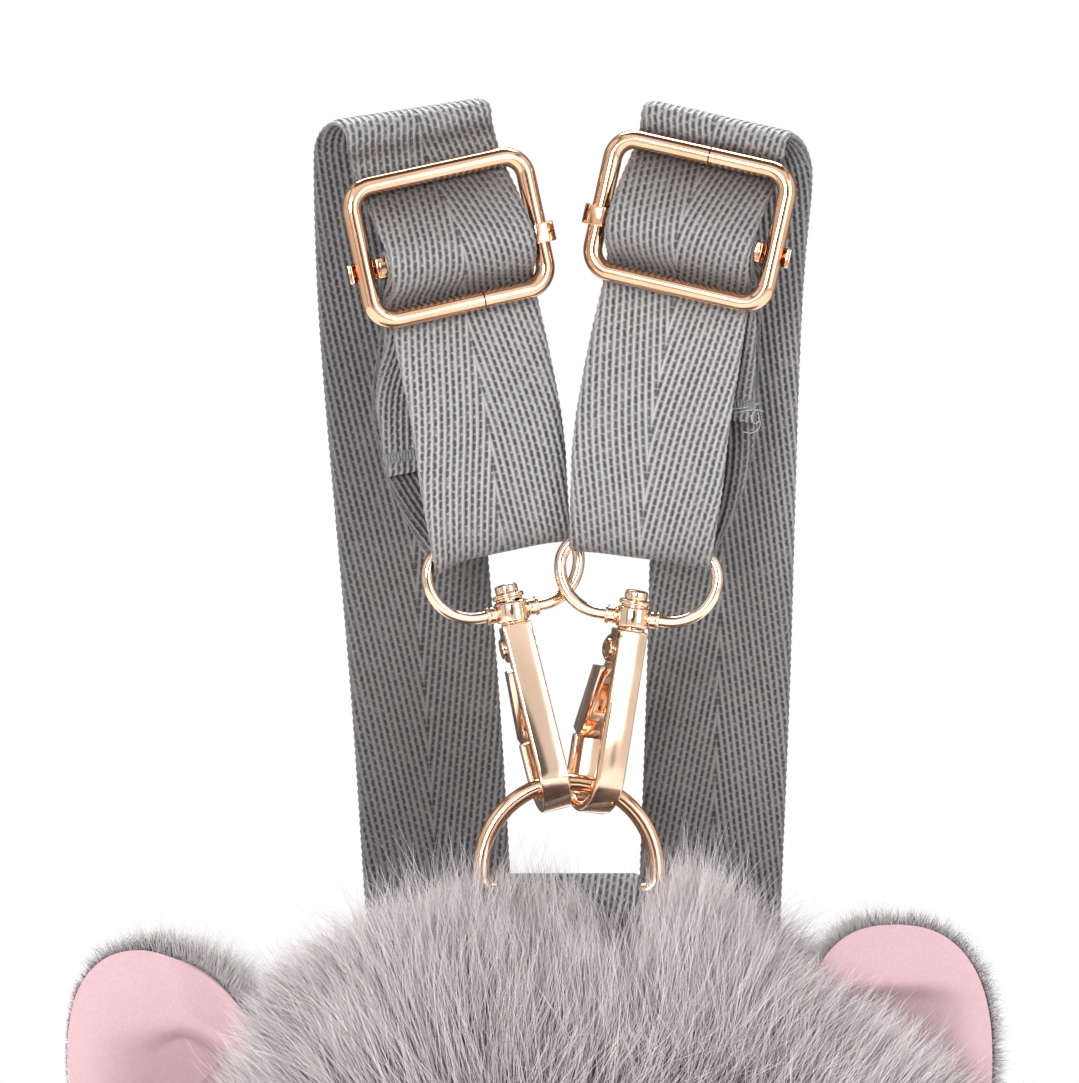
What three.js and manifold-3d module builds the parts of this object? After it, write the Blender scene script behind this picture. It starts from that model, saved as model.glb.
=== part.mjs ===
// A plush animal backpack: a hollow, long-haired head with two ears, hung by two webbing straps.
// Each strap comes up from the foot of the back, folds over at the top, runs through a slider and
// ends in a swivel hook. Both hooks are clipped to one ring, which a tab holds on top of the head.
// Millimetres and degrees. +Z is up and -Y is the front. The origin lies midway between the two
// strap folds, where a rail would carry them.

import * as THREE from "three";
import { mergeVertices } from "three/addons/utils/BufferGeometryUtils.js";
import Module from "manifold-3d";

const wasm = await Module();
wasm.setup();

// Driving dimensions.
const GAP = 0.3;
const WEBBING = { width: 25, thickness: 1.4 };

const SLIDER = { length: 35, height: 26.6, wire: 3.3, corner: 4.9 };
const SLIDE_BAR = { drop: 2.6, height: 2, thickness: 1, clip: 5.5, clipHeight: 3.6 };

const LOOP = { width: 29.7, drop: 13, wire: 2.1, topCorner: 1.6, lowerCorner: 8 };
const BARREL = { radius: 2.9, height: 3.6, bore: 1.5, stubRadius: 1.6, stubReach: 4.9 };

const HOOK = {
  band: 5.2,
  strip: 1.9,
  play: 0.5,
  post: 1.1,
  washer: 2.7,
  washerHeight: 0.7,
  head: 2.1,
  headHeight: 1.7,
  eyeRadius: 5,
  eyeDrop: 28.2,
  cheekRadius: 2.5,
  cheekSlot: 2.6,
  pin: 0.9,
  pinHead: 1.8,
};
const LEVER = { pivotOut: 2.3, pivotDrop: 6, reach: 18.3, tongue: 2, depth: 2.7, top: 9.6, topOut: 7.8 };

const RING = { width: 33.4, wire: 3, archZ: -130.8, barZ: -134.6, corner: 2.4, y: 8.2 };

const HEAD = {
  halfWidth: 78,
  halfHeight: 83,
  centreZ: -223,
  frontY: -52,
  seamY: 8.2,
  backY: 45,
  backScale: 0.88,
  squareness: 2.3,
  wall: 2,
  backing: 2,
};
const MOUTH = { width: 15, top: -170, bottom: -276 };
const ZIP = { tape: 9, thickness: 1.4, gap: 10, toothWidth: 1.6, toothHeight: 2.4, sliderLength: 11 };
const LOCK = { length: 19, width: 12, thickness: 7, lift: 0.75, sweep: 0.66, shorter: 0.85 };
const EAR = { width: 38, height: 47, bowl: 7, lining: 1.2, back: 3, rim: 2.2, crease: 2.2 };

// Where each strap's fittings sit. lean turns a fitting in the front view and yaw turns its face.
const STRAPS = {
  left: {
    slider: { x: -20.7, y: -4.6, z: -21.7, lean: 12.6, yaw: 16 },
    loop: { x: -12.4, y: 5.2, z: -73.2, lean: 11.5, yaw: 16 },
    hook: { lean: 14, pitch: -4, spin: 10 },
    foldStart: -18.3,
    rear: [
      { x: -32.0, y: 5.0, z: -6, lean: 4, yaw: 9 },
      { x: -30.6, y: 12.9, z: -32, lean: 4, yaw: 4 },
      { x: -25.3, y: 33.9, z: -101, lean: 4, yaw: 0 },
      { x: -23.2, y: 44.5, z: -136, lean: 3, yaw: 0 },
      { x: -22.4, y: 48.4, z: -149, lean: 1, yaw: 0 },
      { x: -22.3, y: 48.9, z: -156, lean: 0, yaw: 0 },
      { x: -24.0, y: 48.9, z: -296, lean: 0, yaw: 0 },
    ],
  },
  right: {
    slider: { x: 20.7, y: -4.6, z: -18.8, lean: -13, yaw: -16 },
    loop: { x: 12.7, y: 1.5, z: -74.1, lean: -7.5, yaw: -9 },
    hook: { lean: -9, pitch: 4, spin: 24 },
    foldStart: -14.6,
    rear: [
      { x: 29.6, y: 5.0, z: -9, lean: -13, yaw: -9 },
      { x: 28.0, y: 12.9, z: -32, lean: -4, yaw: -4 },
      { x: 26.4, y: 33.9, z: -101, lean: -1.6, yaw: 0 },
      { x: 25.3, y: 44.5, z: -136, lean: -1, yaw: 0 },
      { x: 25.0, y: 48.4, z: -149, lean: 0, yaw: 0 },
      { x: 25.0, y: 48.9, z: -156, lean: 0, yaw: 0 },
      { x: 26.0, y: 48.9, z: -296, lean: 0, yaw: 0 },
    ],
  },
};

// The way of a strap's middle past its slider and its hook loop. down is measured along the leg from
// the slider's centre or the loop's bar, and out towards the viewer.
const TAIL_ROWS = [
  { at: "loop", down: -23, out: -3.7 },
  { at: "loop", down: -28, out: -2.8 },
  { at: "slider", down: 15.5, out: -5.9 },
  { at: "slider", down: 11.6, out: -4.9 },
  { at: "slider", down: 7.6, out: -3.4 },
  { at: "slider", down: 5.3, out: 0.1 },
  { at: "slider", down: 3.7, out: 1.65 },
  { at: "slider", down: 2.5, out: 1.75 },
  { at: "slider", down: 0.8, out: 1.4 },
  { at: "slider", down: 0.2, out: 0 },
  { at: "slider", down: 0.8, out: -1.4 },
  { at: "slider", down: 2.6, out: -1.75 },
  { at: "slider", down: 4.6, out: -2.2 },
  { at: "slider", down: 6.0, out: -4.9 },
  { at: "slider", down: 10.6, out: -6.8 },
  { at: "slider", down: 14.5, out: -7.9 },
  { at: "loop", down: -28, out: -4.8 },
  { at: "loop", down: -18, out: -5.8 },
  { at: "loop", down: -8, out: -4.4 },
];
const FRONT_ROWS = [
  { at: "loop", down: -8, out: 2.2 },
  { at: "loop", down: -20, out: 2.3 },
  { at: "slider", down: 16, out: -3.4 },
  { at: "slider", down: 12.2, out: -3.1 },
  { at: "slider", down: 8.6, out: -1.65 },
  { at: "slider", down: 6.5, out: 1.7 },
  { at: "slider", down: 4.5, out: 3.35 },
  { at: "slider", down: 2.6, out: 3.65 },
  { at: "slider", down: 0.3, out: 3.2 },
  { at: "slider", down: -2.8, out: 1.8 },
  { at: "slider", down: -5.8, out: 0.2 },
  { at: "slider", down: -8.6, out: -1.65 },
  { at: "slider", down: -12.2, out: -3.1 },
];

// Where the ears sit. tilt turns an ear in the front view.
const EARS = {
  left: { x: -66.5, y: 3, z: -161.5, tilt: 9, yaw: 8 },
  right: { x: 56.5, y: 3, z: -160.5, tilt: -3, yaw: -6 },
};

// How the head's skin is divided: points round each level, levels behind the seam by their depth in
// y, and levels before it by their turn from the seam towards the middle of the face.
const HEAD_POINTS = 26;
const SIDE_LEVELS = [32.5, 20];
const FACE_TURNS = [0, 14, 29, 45, 61, 76];

// Rows of locks stand on those levels, one lock on every so many points.
const LOCK_ROWS = [
  { y: 32.5, every: 1 },
  { y: 20, every: 1 },
  { turn: 0, every: 1 },
  { turn: 14, every: 1 },
  { turn: 29, every: 1 },
  { turn: 45, every: 2 },
  { turn: 61, every: 2 },
  { turn: 76, every: 4 },
];

const COLOURS = {
  webbing: 0x97969a,
  gold: 0xe3b489,
  cloth: 0x8a8186,
  fur: 0xb9afb6,
  earFur: 0x9a9899,
  lining: 0xf2cbd1,
  tape: 0x77757a,
};

const { degToRad } = THREE.MathUtils;
const vec = (x, y, z) => new THREE.Vector3(x, y, z);
const signedPower = (value, power) => Math.sign(value) * Math.abs(value) ** power;

// Mesh helpers.

// A closed skin through rings of points, with a fan on each end, or joined end to end when closed.
function loft(rings, { closed = false, endPoint = null } = {}) {
  const count = rings[0].length;
  const points = rings.flat();
  const faces = [];
  const spans = closed ? rings.length : rings.length - 1;
  for (let i = 0; i < spans; i += 1) {
    const here = i * count;
    const next = ((i + 1) % rings.length) * count;
    for (let k = 0; k < count; k += 1) {
      const after = (k + 1) % count;
      faces.push(here + k, here + after, next + k, here + after, next + after, next + k);
    }
  }
  if (!closed) {
    fan(points, faces, 0, count, middleOf(rings[0]), true);
    fan(points, faces, (rings.length - 1) * count, count, endPoint ?? middleOf(rings.at(-1)), false);
  }
  const geometry = new THREE.BufferGeometry().setFromPoints(points);
  geometry.setIndex(volumeOf(points, faces) < 0 ? faces.reverse() : faces);
  return geometry;
}

function fan(points, faces, first, count, centre, inward) {
  const hub = points.push(centre) - 1;
  for (let k = 0; k < count; k += 1) {
    const a = first + k;
    const b = first + ((k + 1) % count);
    faces.push(...(inward ? [hub, b, a] : [hub, a, b]));
  }
}

function middleOf(ring) {
  return ring.reduce((sum, point) => sum.add(point), vec(0, 0, 0)).divideScalar(ring.length);
}

function volumeOf(points, faces) {
  let total = 0;
  for (let i = 0; i < faces.length; i += 3) {
    const [a, b, c] = [0, 1, 2].map((k) => points[faces[i + k]]);
    total += a.dot(b.clone().cross(c)) / 6;
  }
  return total;
}

function solidOf(geometry) {
  const bare = geometry.clone();
  bare.deleteAttribute("normal");
  bare.deleteAttribute("uv");
  const merged = mergeVertices(bare, 1e-4);
  const vertProperties = new Float32Array(merged.getAttribute("position").array);
  const triVerts = new Uint32Array(merged.getIndex().array);
  return new wasm.Manifold(new wasm.Mesh({ numProp: 3, vertProperties, triVerts }));
}

function geometryOf(solid) {
  const { vertProperties, triVerts } = solid.getMesh();
  const geometry = new THREE.BufferGeometry();
  geometry.setAttribute("position", new THREE.BufferAttribute(vertProperties, 3));
  geometry.setIndex(new THREE.BufferAttribute(triVerts, 1));
  return geometry;
}

function join(...geometries) {
  return geometryOf(wasm.Manifold.union(geometries.map(solidOf)));
}

function cut(geometry, ...cutters) {
  return geometryOf(cutters.reduce((rest, cutter) => rest.subtract(solidOf(cutter)), solidOf(geometry)));
}

// The piece of a cut solid that holds most of its volume.
function largest(geometry) {
  const bodies = solidOf(geometry).decompose();
  return geometryOf(bodies.sort((a, b) => b.volume() - a.volume())[0]);
}

function box(width, depth, height, x, y, z) {
  return new THREE.BoxGeometry(width, depth, height).translate(x, y, z);
}

function upright(radius, height, x, y, z, sides = 12) {
  const cylinder = new THREE.CylinderGeometry(radius, radius, height, sides);
  return cylinder.rotateX(Math.PI / 2).translate(x, y, z);
}

function crosswise(radius, length, x, y, z, sides = 10) {
  const cylinder = new THREE.CylinderGeometry(radius, radius, length, sides);
  return cylinder.rotateZ(Math.PI / 2).translate(x, y, z);
}

// A side view in (y, z), drawn as a flat shape and thickened evenly to both sides along x.
function slab(shape, width, curveSegments = 12) {
  const geometry = new THREE.ExtrudeGeometry(shape, { depth: width, bevelEnabled: false, curveSegments });
  const axes = new THREE.Matrix4().makeBasis(vec(0, 1, 0), vec(0, 0, 1), vec(1, 0, 0));
  return geometry.applyMatrix4(axes).translate(-width / 2, 0, 0);
}

// A round wire along a closed path in the xz plane.
function wireLoop(path, wire, sides = 8) {
  const rings = path.map((point, i) => {
    const before = path.at(i - 1);
    const after = path[(i + 1) % path.length];
    const along = after.clone().sub(before).normalize();
    const across = along.clone().cross(vec(0, 1, 0));
    return Array.from({ length: sides }, (_, k) => {
      const angle = ((k + 0.5) / sides) * 2 * Math.PI;
      const outward = across.clone().multiplyScalar(Math.cos(angle) * (wire / 2));
      return point.clone().add(outward).add(vec(0, Math.sin(angle) * (wire / 2), 0));
    });
  });
  return loft(rings, { closed: true });
}

// Points of an arc in the xz plane, from one angle to another.
function arc(x, z, radius, from, to, steps) {
  return Array.from({ length: steps + 1 }, (_, i) => {
    const angle = degToRad(from + ((to - from) * i) / steps);
    return vec(x + radius * Math.cos(angle), 0, z + radius * Math.sin(angle));
  });
}

// A rounded rectangle in the xz plane, with its own corner radius above and below.
function roundedPath(halfWidth, top, bottom, topCorner, lowerCorner, steps) {
  return [
    ...arc(halfWidth - topCorner, top - topCorner, topCorner, 0, 90, steps),
    ...arc(topCorner - halfWidth, top - topCorner, topCorner, 90, 180, steps),
    ...arc(lowerCorner - halfWidth, bottom + lowerCorner, lowerCorner, 180, 270, steps),
    ...arc(halfWidth - lowerCorner, bottom + lowerCorner, lowerCorner, 270, 360, steps),
  ];
}

// Places.

function placeOf({ x, y, z, lean, yaw }) {
  const turn = new THREE.Matrix4().makeRotationZ(degToRad(yaw));
  turn.multiply(new THREE.Matrix4().makeRotationY(degToRad(-lean)));
  return turn.setPosition(x, y, z);
}

// The swivel hook's place: its origin is the barrel's centre, and the lever's side is local +Y.
function hookPlaceOf({ loop, hook }) {
  const barrel = vec(0, 0, -LOOP.drop).applyMatrix4(placeOf(loop));
  const turn = new THREE.Matrix4().makeRotationY(degToRad(-hook.lean));
  turn.multiply(new THREE.Matrix4().makeRotationX(degToRad(hook.pitch)));
  turn.multiply(new THREE.Matrix4().makeRotationZ(degToRad(hook.spin)));
  return turn.setPosition(barrel);
}

// Webbing.

// A flat band through stations, each with a point on its middle and a direction across its width.
function band(stations, { width, thickness }) {
  const rings = stations.map(({ point, across }, i) => {
    const before = stations[Math.max(i - 1, 0)].point;
    const after = stations[Math.min(i + 1, stations.length - 1)].point;
    const along = after.clone().sub(before).normalize();
    const out = along.clone().cross(across).normalize();
    const side = out.clone().cross(along).multiplyScalar(width / 2);
    const half = out.multiplyScalar(thickness / 2);
    return [
      point.clone().add(side).add(half),
      point.clone().sub(side).add(half),
      point.clone().sub(side).sub(half),
      point.clone().add(side).sub(half),
    ];
  });
  return loft(rings);
}

function station(place, x, y, z) {
  const across = vec(1, 0, 0).transformDirection(place);
  return { point: vec(x, y, z).applyMatrix4(place), across };
}

function strap({ slider, loop, foldStart, rear }) {
  const places = { slider: placeOf(slider), loop: placeOf(loop) };
  const atRow = ({ at, down, out }) => station(places[at], 0, -out, -down);
  const wrapRadius = LOOP.wire / 2 + GAP + WEBBING.thickness / 2;
  const wrap = arc(0, 0, wrapRadius, 0, -180, 6).map((p) => station(places.loop, 0, p.x, p.z));
  const front = [...FRONT_ROWS.map(atRow), atRow({ at: "slider", down: foldStart, out: -2.6 })];
  const back = rear.map((row) => station(placeOf(row), 0, 0, 0));
  return band([...TAIL_ROWS.map(atRow), ...wrap, ...front, ...fold(front.at(-1), back), ...back], WEBBING);
}

// The turn over the top, from the front leg's last station to the rear leg's first one.
function fold(frontEnd, back) {
  const rise = vec(0, 0, 1);
  const fall = back[1].point.clone().sub(back[0].point).normalize();
  const reach = (frontEnd.point.distanceTo(back[0].point) * 2) / 3;
  const curve = new THREE.CubicBezierCurve3(
    frontEnd.point,
    frontEnd.point.clone().addScaledVector(rise, reach),
    back[0].point.clone().addScaledVector(fall, -reach),
    back[0].point,
  );
  const steps = 10;
  return Array.from({ length: steps - 1 }, (_, i) => {
    const t = (i + 1) / steps;
    return { point: curve.getPoint(t), across: frontEnd.across.clone().lerp(back[0].across, t).normalize() };
  });
}

// The tab goes up from the head, over the ring's straight bar and down again.
function topTab() {
  const radius = RING.wire / 2 + GAP + WEBBING.thickness / 2;
  const upright = new THREE.Matrix4().setPosition(0, RING.y, RING.barZ);
  const foot = RING.barZ - HEAD.centreZ - HEAD.halfHeight + 6;
  const turn = arc(0, 0, radius, 180, 0, 8);
  const rows = [vec(-radius, 0, -foot), ...turn, vec(radius, 0, -foot)];
  const loop = band(rows.map((row) => station(upright, 0, row.x, row.z)), WEBBING);
  return cut(loop, headForm(GAP));
}

// Metal fittings.

function sliderFrame() {
  const halfWidth = (SLIDER.length - SLIDER.wire) / 2;
  const halfHeight = (SLIDER.height - SLIDER.wire) / 2;
  return wireLoop(roundedPath(halfWidth, halfHeight, -halfHeight, SLIDER.corner, SLIDER.corner, 4), SLIDER.wire);
}

// The slide bar is a flat strip whose folded ends run on the frame's two side wires.
function slideBar() {
  const { drop, height, thickness, clip, clipHeight } = SLIDE_BAR;
  const sideX = (SLIDER.length - SLIDER.wire) / 2;
  const strip = box(2 * sideX, thickness, height, 0, 0, -drop);
  const clips = [-sideX, sideX].map((x) => box(clip, clip, clipHeight, x, 0, -drop));
  const bores = [-sideX, sideX].map((x) => upright(SLIDER.wire / 2 + GAP, SLIDER.height, x, 0, 0, 12));
  return cut(join(strip, ...clips), ...bores);
}

// The strap loop of a swivel hook, with the barrel that the hook's post turns in.
function hookLoop() {
  const path = roundedPath(
    (LOOP.width - LOOP.wire) / 2,
    0,
    -LOOP.drop,
    LOOP.topCorner,
    LOOP.lowerCorner,
    4,
  );
  const barrel = upright(BARREL.radius, BARREL.height, 0, 0, -LOOP.drop);
  const stubs = crosswise(BARREL.stubRadius, 2 * BARREL.stubReach, 0, 0, -LOOP.drop, 10);
  const bore = upright(BARREL.bore, 3 * BARREL.height, 0, 0, -LOOP.drop, 12);
  return cut(join(wireLoop(path, LOOP.wire), barrel, stubs), bore);
}

// The hook's side view: a spine, a round eye, a nose that stops short of the lever, and a cheek that
// carries the pivot.
function hookShape() {
  const top = -(BARREL.height / 2 + HOOK.play);
  const spineIn = LEVER.pivotOut - HOOK.cheekRadius + 0.2;
  const spineOut = spineIn - HOOK.strip;
  const eyeY = spineIn + HOOK.eyeRadius;
  const outer = HOOK.eyeRadius + HOOK.strip;
  const noseZ = (y) => -LEVER.pivotDrop - Math.sqrt(LEVER.reach ** 2 - (y - LEVER.pivotOut) ** 2);
  const shape = new THREE.Shape();
  shape.moveTo(spineOut, top);
  shape.lineTo(spineOut, -HOOK.eyeDrop);
  shape.absarc(eyeY, -HOOK.eyeDrop, outer, Math.PI, 2 * Math.PI, false);
  shape.lineTo(eyeY + outer, noseZ(eyeY + outer));
  shape.lineTo(eyeY + HOOK.eyeRadius, noseZ(eyeY + HOOK.eyeRadius));
  shape.lineTo(eyeY + HOOK.eyeRadius, -HOOK.eyeDrop);
  shape.absarc(eyeY, -HOOK.eyeDrop, HOOK.eyeRadius, 2 * Math.PI, Math.PI, true);
  shape.lineTo(spineIn, -LEVER.pivotDrop - HOOK.cheekRadius);
  shape.lineTo(LEVER.pivotOut, -LEVER.pivotDrop - HOOK.cheekRadius);
  shape.absarc(LEVER.pivotOut, -LEVER.pivotDrop, HOOK.cheekRadius, -Math.PI / 2, Math.PI / 4, false);
  shape.lineTo(HOOK.washer, top);
  shape.closePath();
  return shape;
}

function hookBody() {
  const { pivotOut, pivotDrop } = LEVER;
  const spineIn = pivotOut - HOOK.cheekRadius + 0.2;
  const under = BARREL.height / 2 + HOOK.play;
  const slotTop = -(pivotDrop - HOOK.cheekRadius + 0.2);
  const slot = box(HOOK.cheekSlot, 12, 12, 0, spineIn + 6, slotTop - 6);
  const fork = cut(slab(hookShape(), HOOK.band, 7), slot);
  const post = upright(HOOK.post, 2 * under + 1, 0, 0, 0, 12);
  const washer = upright(HOOK.washer, HOOK.washerHeight, 0, 0, under + HOOK.washerHeight / 2);
  const headZ = under + HOOK.washerHeight + HOOK.headHeight / 2 - 0.1;
  const head = upright(HOOK.head, HOOK.headHeight + 0.2, 0, 0, headZ);
  const pin = crosswise(HOOK.pin, HOOK.band, 0, pivotOut, -pivotDrop, 12);
  const pinHeads = [-1, 1].map((s) => crosswise(HOOK.pinHead, 0.8, (s * HOOK.band) / 2, pivotOut, -pivotDrop));
  return join(fork, post, washer, head, pin, ...pinHeads);
}

// The lever turns on the pin. Its end follows a circle round the pin, so it swings in past the nose.
function hookLever() {
  const { pivotOut, pivotDrop, reach, depth, top, topOut, tongue } = LEVER;
  const endRadius = reach - GAP;
  const spineIn = pivotOut - HOOK.cheekRadius + 0.2;
  const endOut = spineIn + 2 * HOOK.eyeRadius + HOOK.strip;
  const endZ = (y) => -pivotDrop - Math.sqrt(endRadius ** 2 - (y - pivotOut) ** 2);
  const body = new THREE.Shape();
  body.moveTo(topOut, -top);
  body.lineTo(endOut, endZ(endOut));
  body.lineTo(endOut - depth, endZ(endOut - depth));
  body.lineTo(topOut - depth - 0.6, -top - 0.6);
  body.lineTo(topOut - depth - 0.6, -top);
  body.closePath();
  const link = new THREE.Shape();
  link.absarc(pivotOut, -pivotDrop, HOOK.cheekRadius - 0.5, degToRad(40), degToRad(200), false);
  link.lineTo(topOut - depth - 0.6, -top - 1.6);
  link.lineTo(topOut - 0.4, -top - 1);
  link.closePath();
  const bore = crosswise(HOOK.pin + GAP, HOOK.band, 0, pivotOut, -pivotDrop, 12);
  const pocket = new THREE.Shape();
  pocket.moveTo(topOut - depth - 2, -top - 3.2);
  pocket.lineTo(topOut - 0.6, -top - 2.6);
  pocket.lineTo(endOut - 2.4, endZ(endOut) + 3.6);
  pocket.lineTo(endOut - depth - 2.6, endZ(endOut) + 3.2);
  pocket.closePath();
  return cut(join(slab(body, HOOK.band - 0.2), slab(link, tongue)), bore, slab(pocket, tongue));
}

function topRing() {
  const halfWidth = (RING.width - RING.wire) / 2;
  const path = [
    ...arc(0, RING.archZ, halfWidth, 0, 180, 16),
    ...arc(RING.corner - halfWidth, RING.barZ + RING.corner, RING.corner, 180, 270, 3),
    ...arc(halfWidth - RING.corner, RING.barZ + RING.corner, RING.corner, 270, 360, 3),
  ];
  return wireLoop(path, RING.wire).translate(0, RING.y, 0);
}

// The head.

// One level round the head: how far back it lies and how wide it is there.
function levelBehind(y) {
  const share = (y - HEAD.seamY) / (HEAD.backY - HEAD.seamY);
  return { y, scale: 1 - (1 - HEAD.backScale) * share ** 2 };
}

function levelBefore(turn, grow) {
  const power = 2 / HEAD.squareness;
  const depth = HEAD.seamY - HEAD.frontY + grow;
  return {
    y: HEAD.seamY - depth * Math.sin(degToRad(turn)) ** power,
    scale: Math.cos(degToRad(turn)) ** power,
  };
}

function headPoint({ y, scale }, angle, grow) {
  const power = 2 / HEAD.squareness;
  const x = scale * (HEAD.halfWidth + grow) * signedPower(Math.cos(angle), power);
  const z = scale * (HEAD.halfHeight + grow) * signedPower(Math.sin(angle), power);
  return vec(x, y, HEAD.centreZ + z);
}

function pointAngle(k) {
  return ((k + 0.5) / HEAD_POINTS) * 2 * Math.PI;
}

function headRing(level, grow) {
  return Array.from({ length: HEAD_POINTS }, (_, k) => headPoint(level, pointAngle(k), grow));
}

function faceRings(grow) {
  return FACE_TURNS.map((turn) => headRing(levelBefore(turn, grow), grow));
}

function facePoint(grow) {
  return vec(0, HEAD.frontY - grow, HEAD.centreZ);
}

// A wall over the face: its inside from the face's middle out to the rim, then its outside back.
function faceWall(outGrow, inGrow, rim) {
  const outside = [...rim.map((y) => headRing(levelBehind(y), outGrow)), ...faceRings(outGrow)];
  const inside = [...rim.map((y) => headRing(levelBehind(y), inGrow)), ...faceRings(inGrow)];
  const shell = loft(outside, { endPoint: facePoint(outGrow) });
  const hollow = loft(
    [headRing({ ...levelBehind(rim[0] ?? HEAD.seamY), y: (rim[0] ?? HEAD.seamY) + 5 }, inGrow), ...inside],
    { endPoint: facePoint(inGrow) },
  );
  return cut(shell, hollow);
}

const PANEL_GROW = -HEAD.backing - GAP;
const LINED_GROW = PANEL_GROW - HEAD.wall;

function frontPanel() {
  return faceWall(PANEL_GROW, LINED_GROW, []);
}

function sidePanel() {
  const levels = [HEAD.backY, ...SIDE_LEVELS, HEAD.seamY + GAP].map(levelBehind);
  const outside = levels.map((level) => headRing(level, PANEL_GROW));
  const inside = levels.map((level) => headRing(level, LINED_GROW)).reverse();
  return loft([...outside, ...inside], { closed: true });
}

// The back panel and the zip are drawn in the front view and thickened backwards.
function flatPiece(outline, holes, y, thickness) {
  const shape = new THREE.Shape(outline);
  shape.holes = holes.map((hole) => new THREE.Path(hole));
  const geometry = new THREE.ExtrudeGeometry(shape, { depth: thickness, bevelEnabled: false });
  return geometry.rotateX(Math.PI / 2).translate(0, y + thickness, 0);
}

// A slit with pointed ends, widest at its middle.
function slit(width, top, bottom, steps = 7) {
  const height = (top - bottom) / 2;
  const middle = (top + bottom) / 2;
  const side = (sign) =>
    Array.from({ length: steps }, (_, i) => {
      const share = -1 + (2 * i) / steps;
      return new THREE.Vector2(sign * (width / 2) * (1 - share ** 4), middle + sign * share * height);
    });
  return [...side(1), ...side(-1)];
}

function stadium(halfWidth, top, bottom, steps = 6) {
  const ends = [
    ...arc(0, top - halfWidth, halfWidth, 0, 180, steps),
    ...arc(0, bottom + halfWidth, halfWidth, 180, 360, steps),
  ];
  return ends.map((p) => new THREE.Vector2(p.x, p.z));
}

function backPanel() {
  const rim = headRing(levelBehind(HEAD.backY), PANEL_GROW).map((p) => new THREE.Vector2(p.x, p.z));
  const hole = stadium(MOUTH.width / 2, MOUTH.top, MOUTH.bottom);
  return flatPiece(rim, [hole], HEAD.backY + GAP, HEAD.wall + 0.6);
}

// The zip lies inside the back panel, round its mouth: two tapes with a row of teeth, open between
// them, and the slider at the lower end.
function zip() {
  const { tape, thickness, gap, toothWidth, toothHeight, sliderLength } = ZIP;
  const y = HEAD.backY - thickness;
  const outline = stadium(gap / 2 + tape, MOUTH.top + tape, MOUTH.bottom - tape);
  const opening = slit(gap, MOUTH.top - 2, MOUTH.bottom + sliderLength);
  const rib = slit(gap + 2 * toothWidth, MOUTH.top - 1, MOUTH.bottom + sliderLength - 2);
  const tapes = flatPiece(outline, [opening], y, thickness);
  const teeth = flatPiece(rib, [opening], y - 0.4, toothHeight);
  const puller = box(7, 3, sliderLength, 0, HEAD.backY + 0.6, MOUTH.bottom + sliderLength / 2 + 2);
  return join(tapes, teeth, puller);
}

// The head as one solid block, for trimming what is sewn to it.
function headForm(grow) {
  const behind = [HEAD.backY - 1, ...SIDE_LEVELS].map((y) => headRing(levelBehind(y), grow));
  return loft([...behind, ...faceRings(grow)], { endPoint: facePoint(grow) });
}

// Ears.

// The ear's outline, rounder at the top than at its foot, as a share of its full size.
function earPoint(share, angle, size, y) {
  const taper = 1 - 0.1 * Math.sin(angle);
  const x = share * (size.width / 2) * Math.cos(angle) * taper;
  const z = share * (size.height / 2) * signedPower(Math.sin(angle), 0.9);
  return vec(x, y, z);
}

// The hollow of the ear, with one soft crease across it.
function earHollow(x, z) {
  const share = Math.hypot(x / (EAR.width / 2), z / (EAR.height / 2));
  const across = x * 0.5 + (z + 4) * 0.87;
  return EAR.bowl * (1 - Math.min(share, 1) ** 2) - EAR.crease * Math.exp(-((across / 3.5) ** 2)) * (1 - share);
}

function earSheet(size, front, back, count = 18) {
  const shares = [0.3, 0.6, 0.85, 1];
  const ringAt = (share, offset) =>
    Array.from({ length: count }, (_, k) => {
      const point = earPoint(share, (k / count) * 2 * Math.PI, size, 0);
      return point.setY(earHollow(point.x, point.z) + offset(share));
    });
  const inner = shares.map((share) => ringAt(share, front));
  const outer = shares.map((share) => ringAt(share, back)).reverse();
  return loft([...inner, ...outer]);
}

function earPlace({ x, y, z, tilt, yaw }) {
  return placeOf({ x, y, z, lean: tilt, yaw });
}

function earLining(ear) {
  const size = { width: EAR.width - 2 * EAR.rim, height: EAR.height - 2 * EAR.rim };
  const sheet = earSheet(size, () => -EAR.lining - 0.2, () => -0.2);
  return largest(cut(sheet.applyMatrix4(earPlace(ear)), headForm(GAP)));
}

function earBack(ear) {
  const puff = (share) => GAP + EAR.back * Math.sqrt(1.05 - share ** 2);
  const sheet = earSheet(EAR, () => GAP, puff);
  return largest(cut(sheet.applyMatrix4(earPlace(ear)), headForm(GAP)));
}

// Fur.

// One lock: a wedge whose foot lies within the backing and whose point leans along the sweep.
function lock(root, normal, sweep, length) {
  const side = sweep.clone().cross(normal).multiplyScalar(LOCK.width / 2);
  const foot = sweep.clone().multiplyScalar(LOCK.thickness / 2);
  const ring = [
    root.clone().add(side).sub(foot),
    root.clone().sub(side).sub(foot),
    root.clone().add(foot),
  ];
  const aim = normal.clone().multiplyScalar(LOCK.lift).addScaledVector(sweep, LOCK.sweep);
  return loft([ring], { endPoint: root.clone().addScaledVector(aim, length) });
}

// Hair parts round what is sewn in the top seam, and stays short where the straps and ears are.
function isBare(root) {
  const atTab = Math.abs(root.x) < 21 && Math.abs(root.y - RING.y) < 13 && root.z > HEAD.centreZ;
  const atStrap = root.y > 27 && Math.abs(Math.abs(root.x) - 24) < 24 && root.z > HEAD.centreZ + 30;
  const atEar = Object.values(EARS).some((ear) => {
    const near = Math.hypot(root.x - ear.x, root.z - ear.z) < 32;
    return near && Math.abs(root.y - ear.y - 4) < 17;
  });
  return atTab || atStrap || atEar;
}

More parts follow.
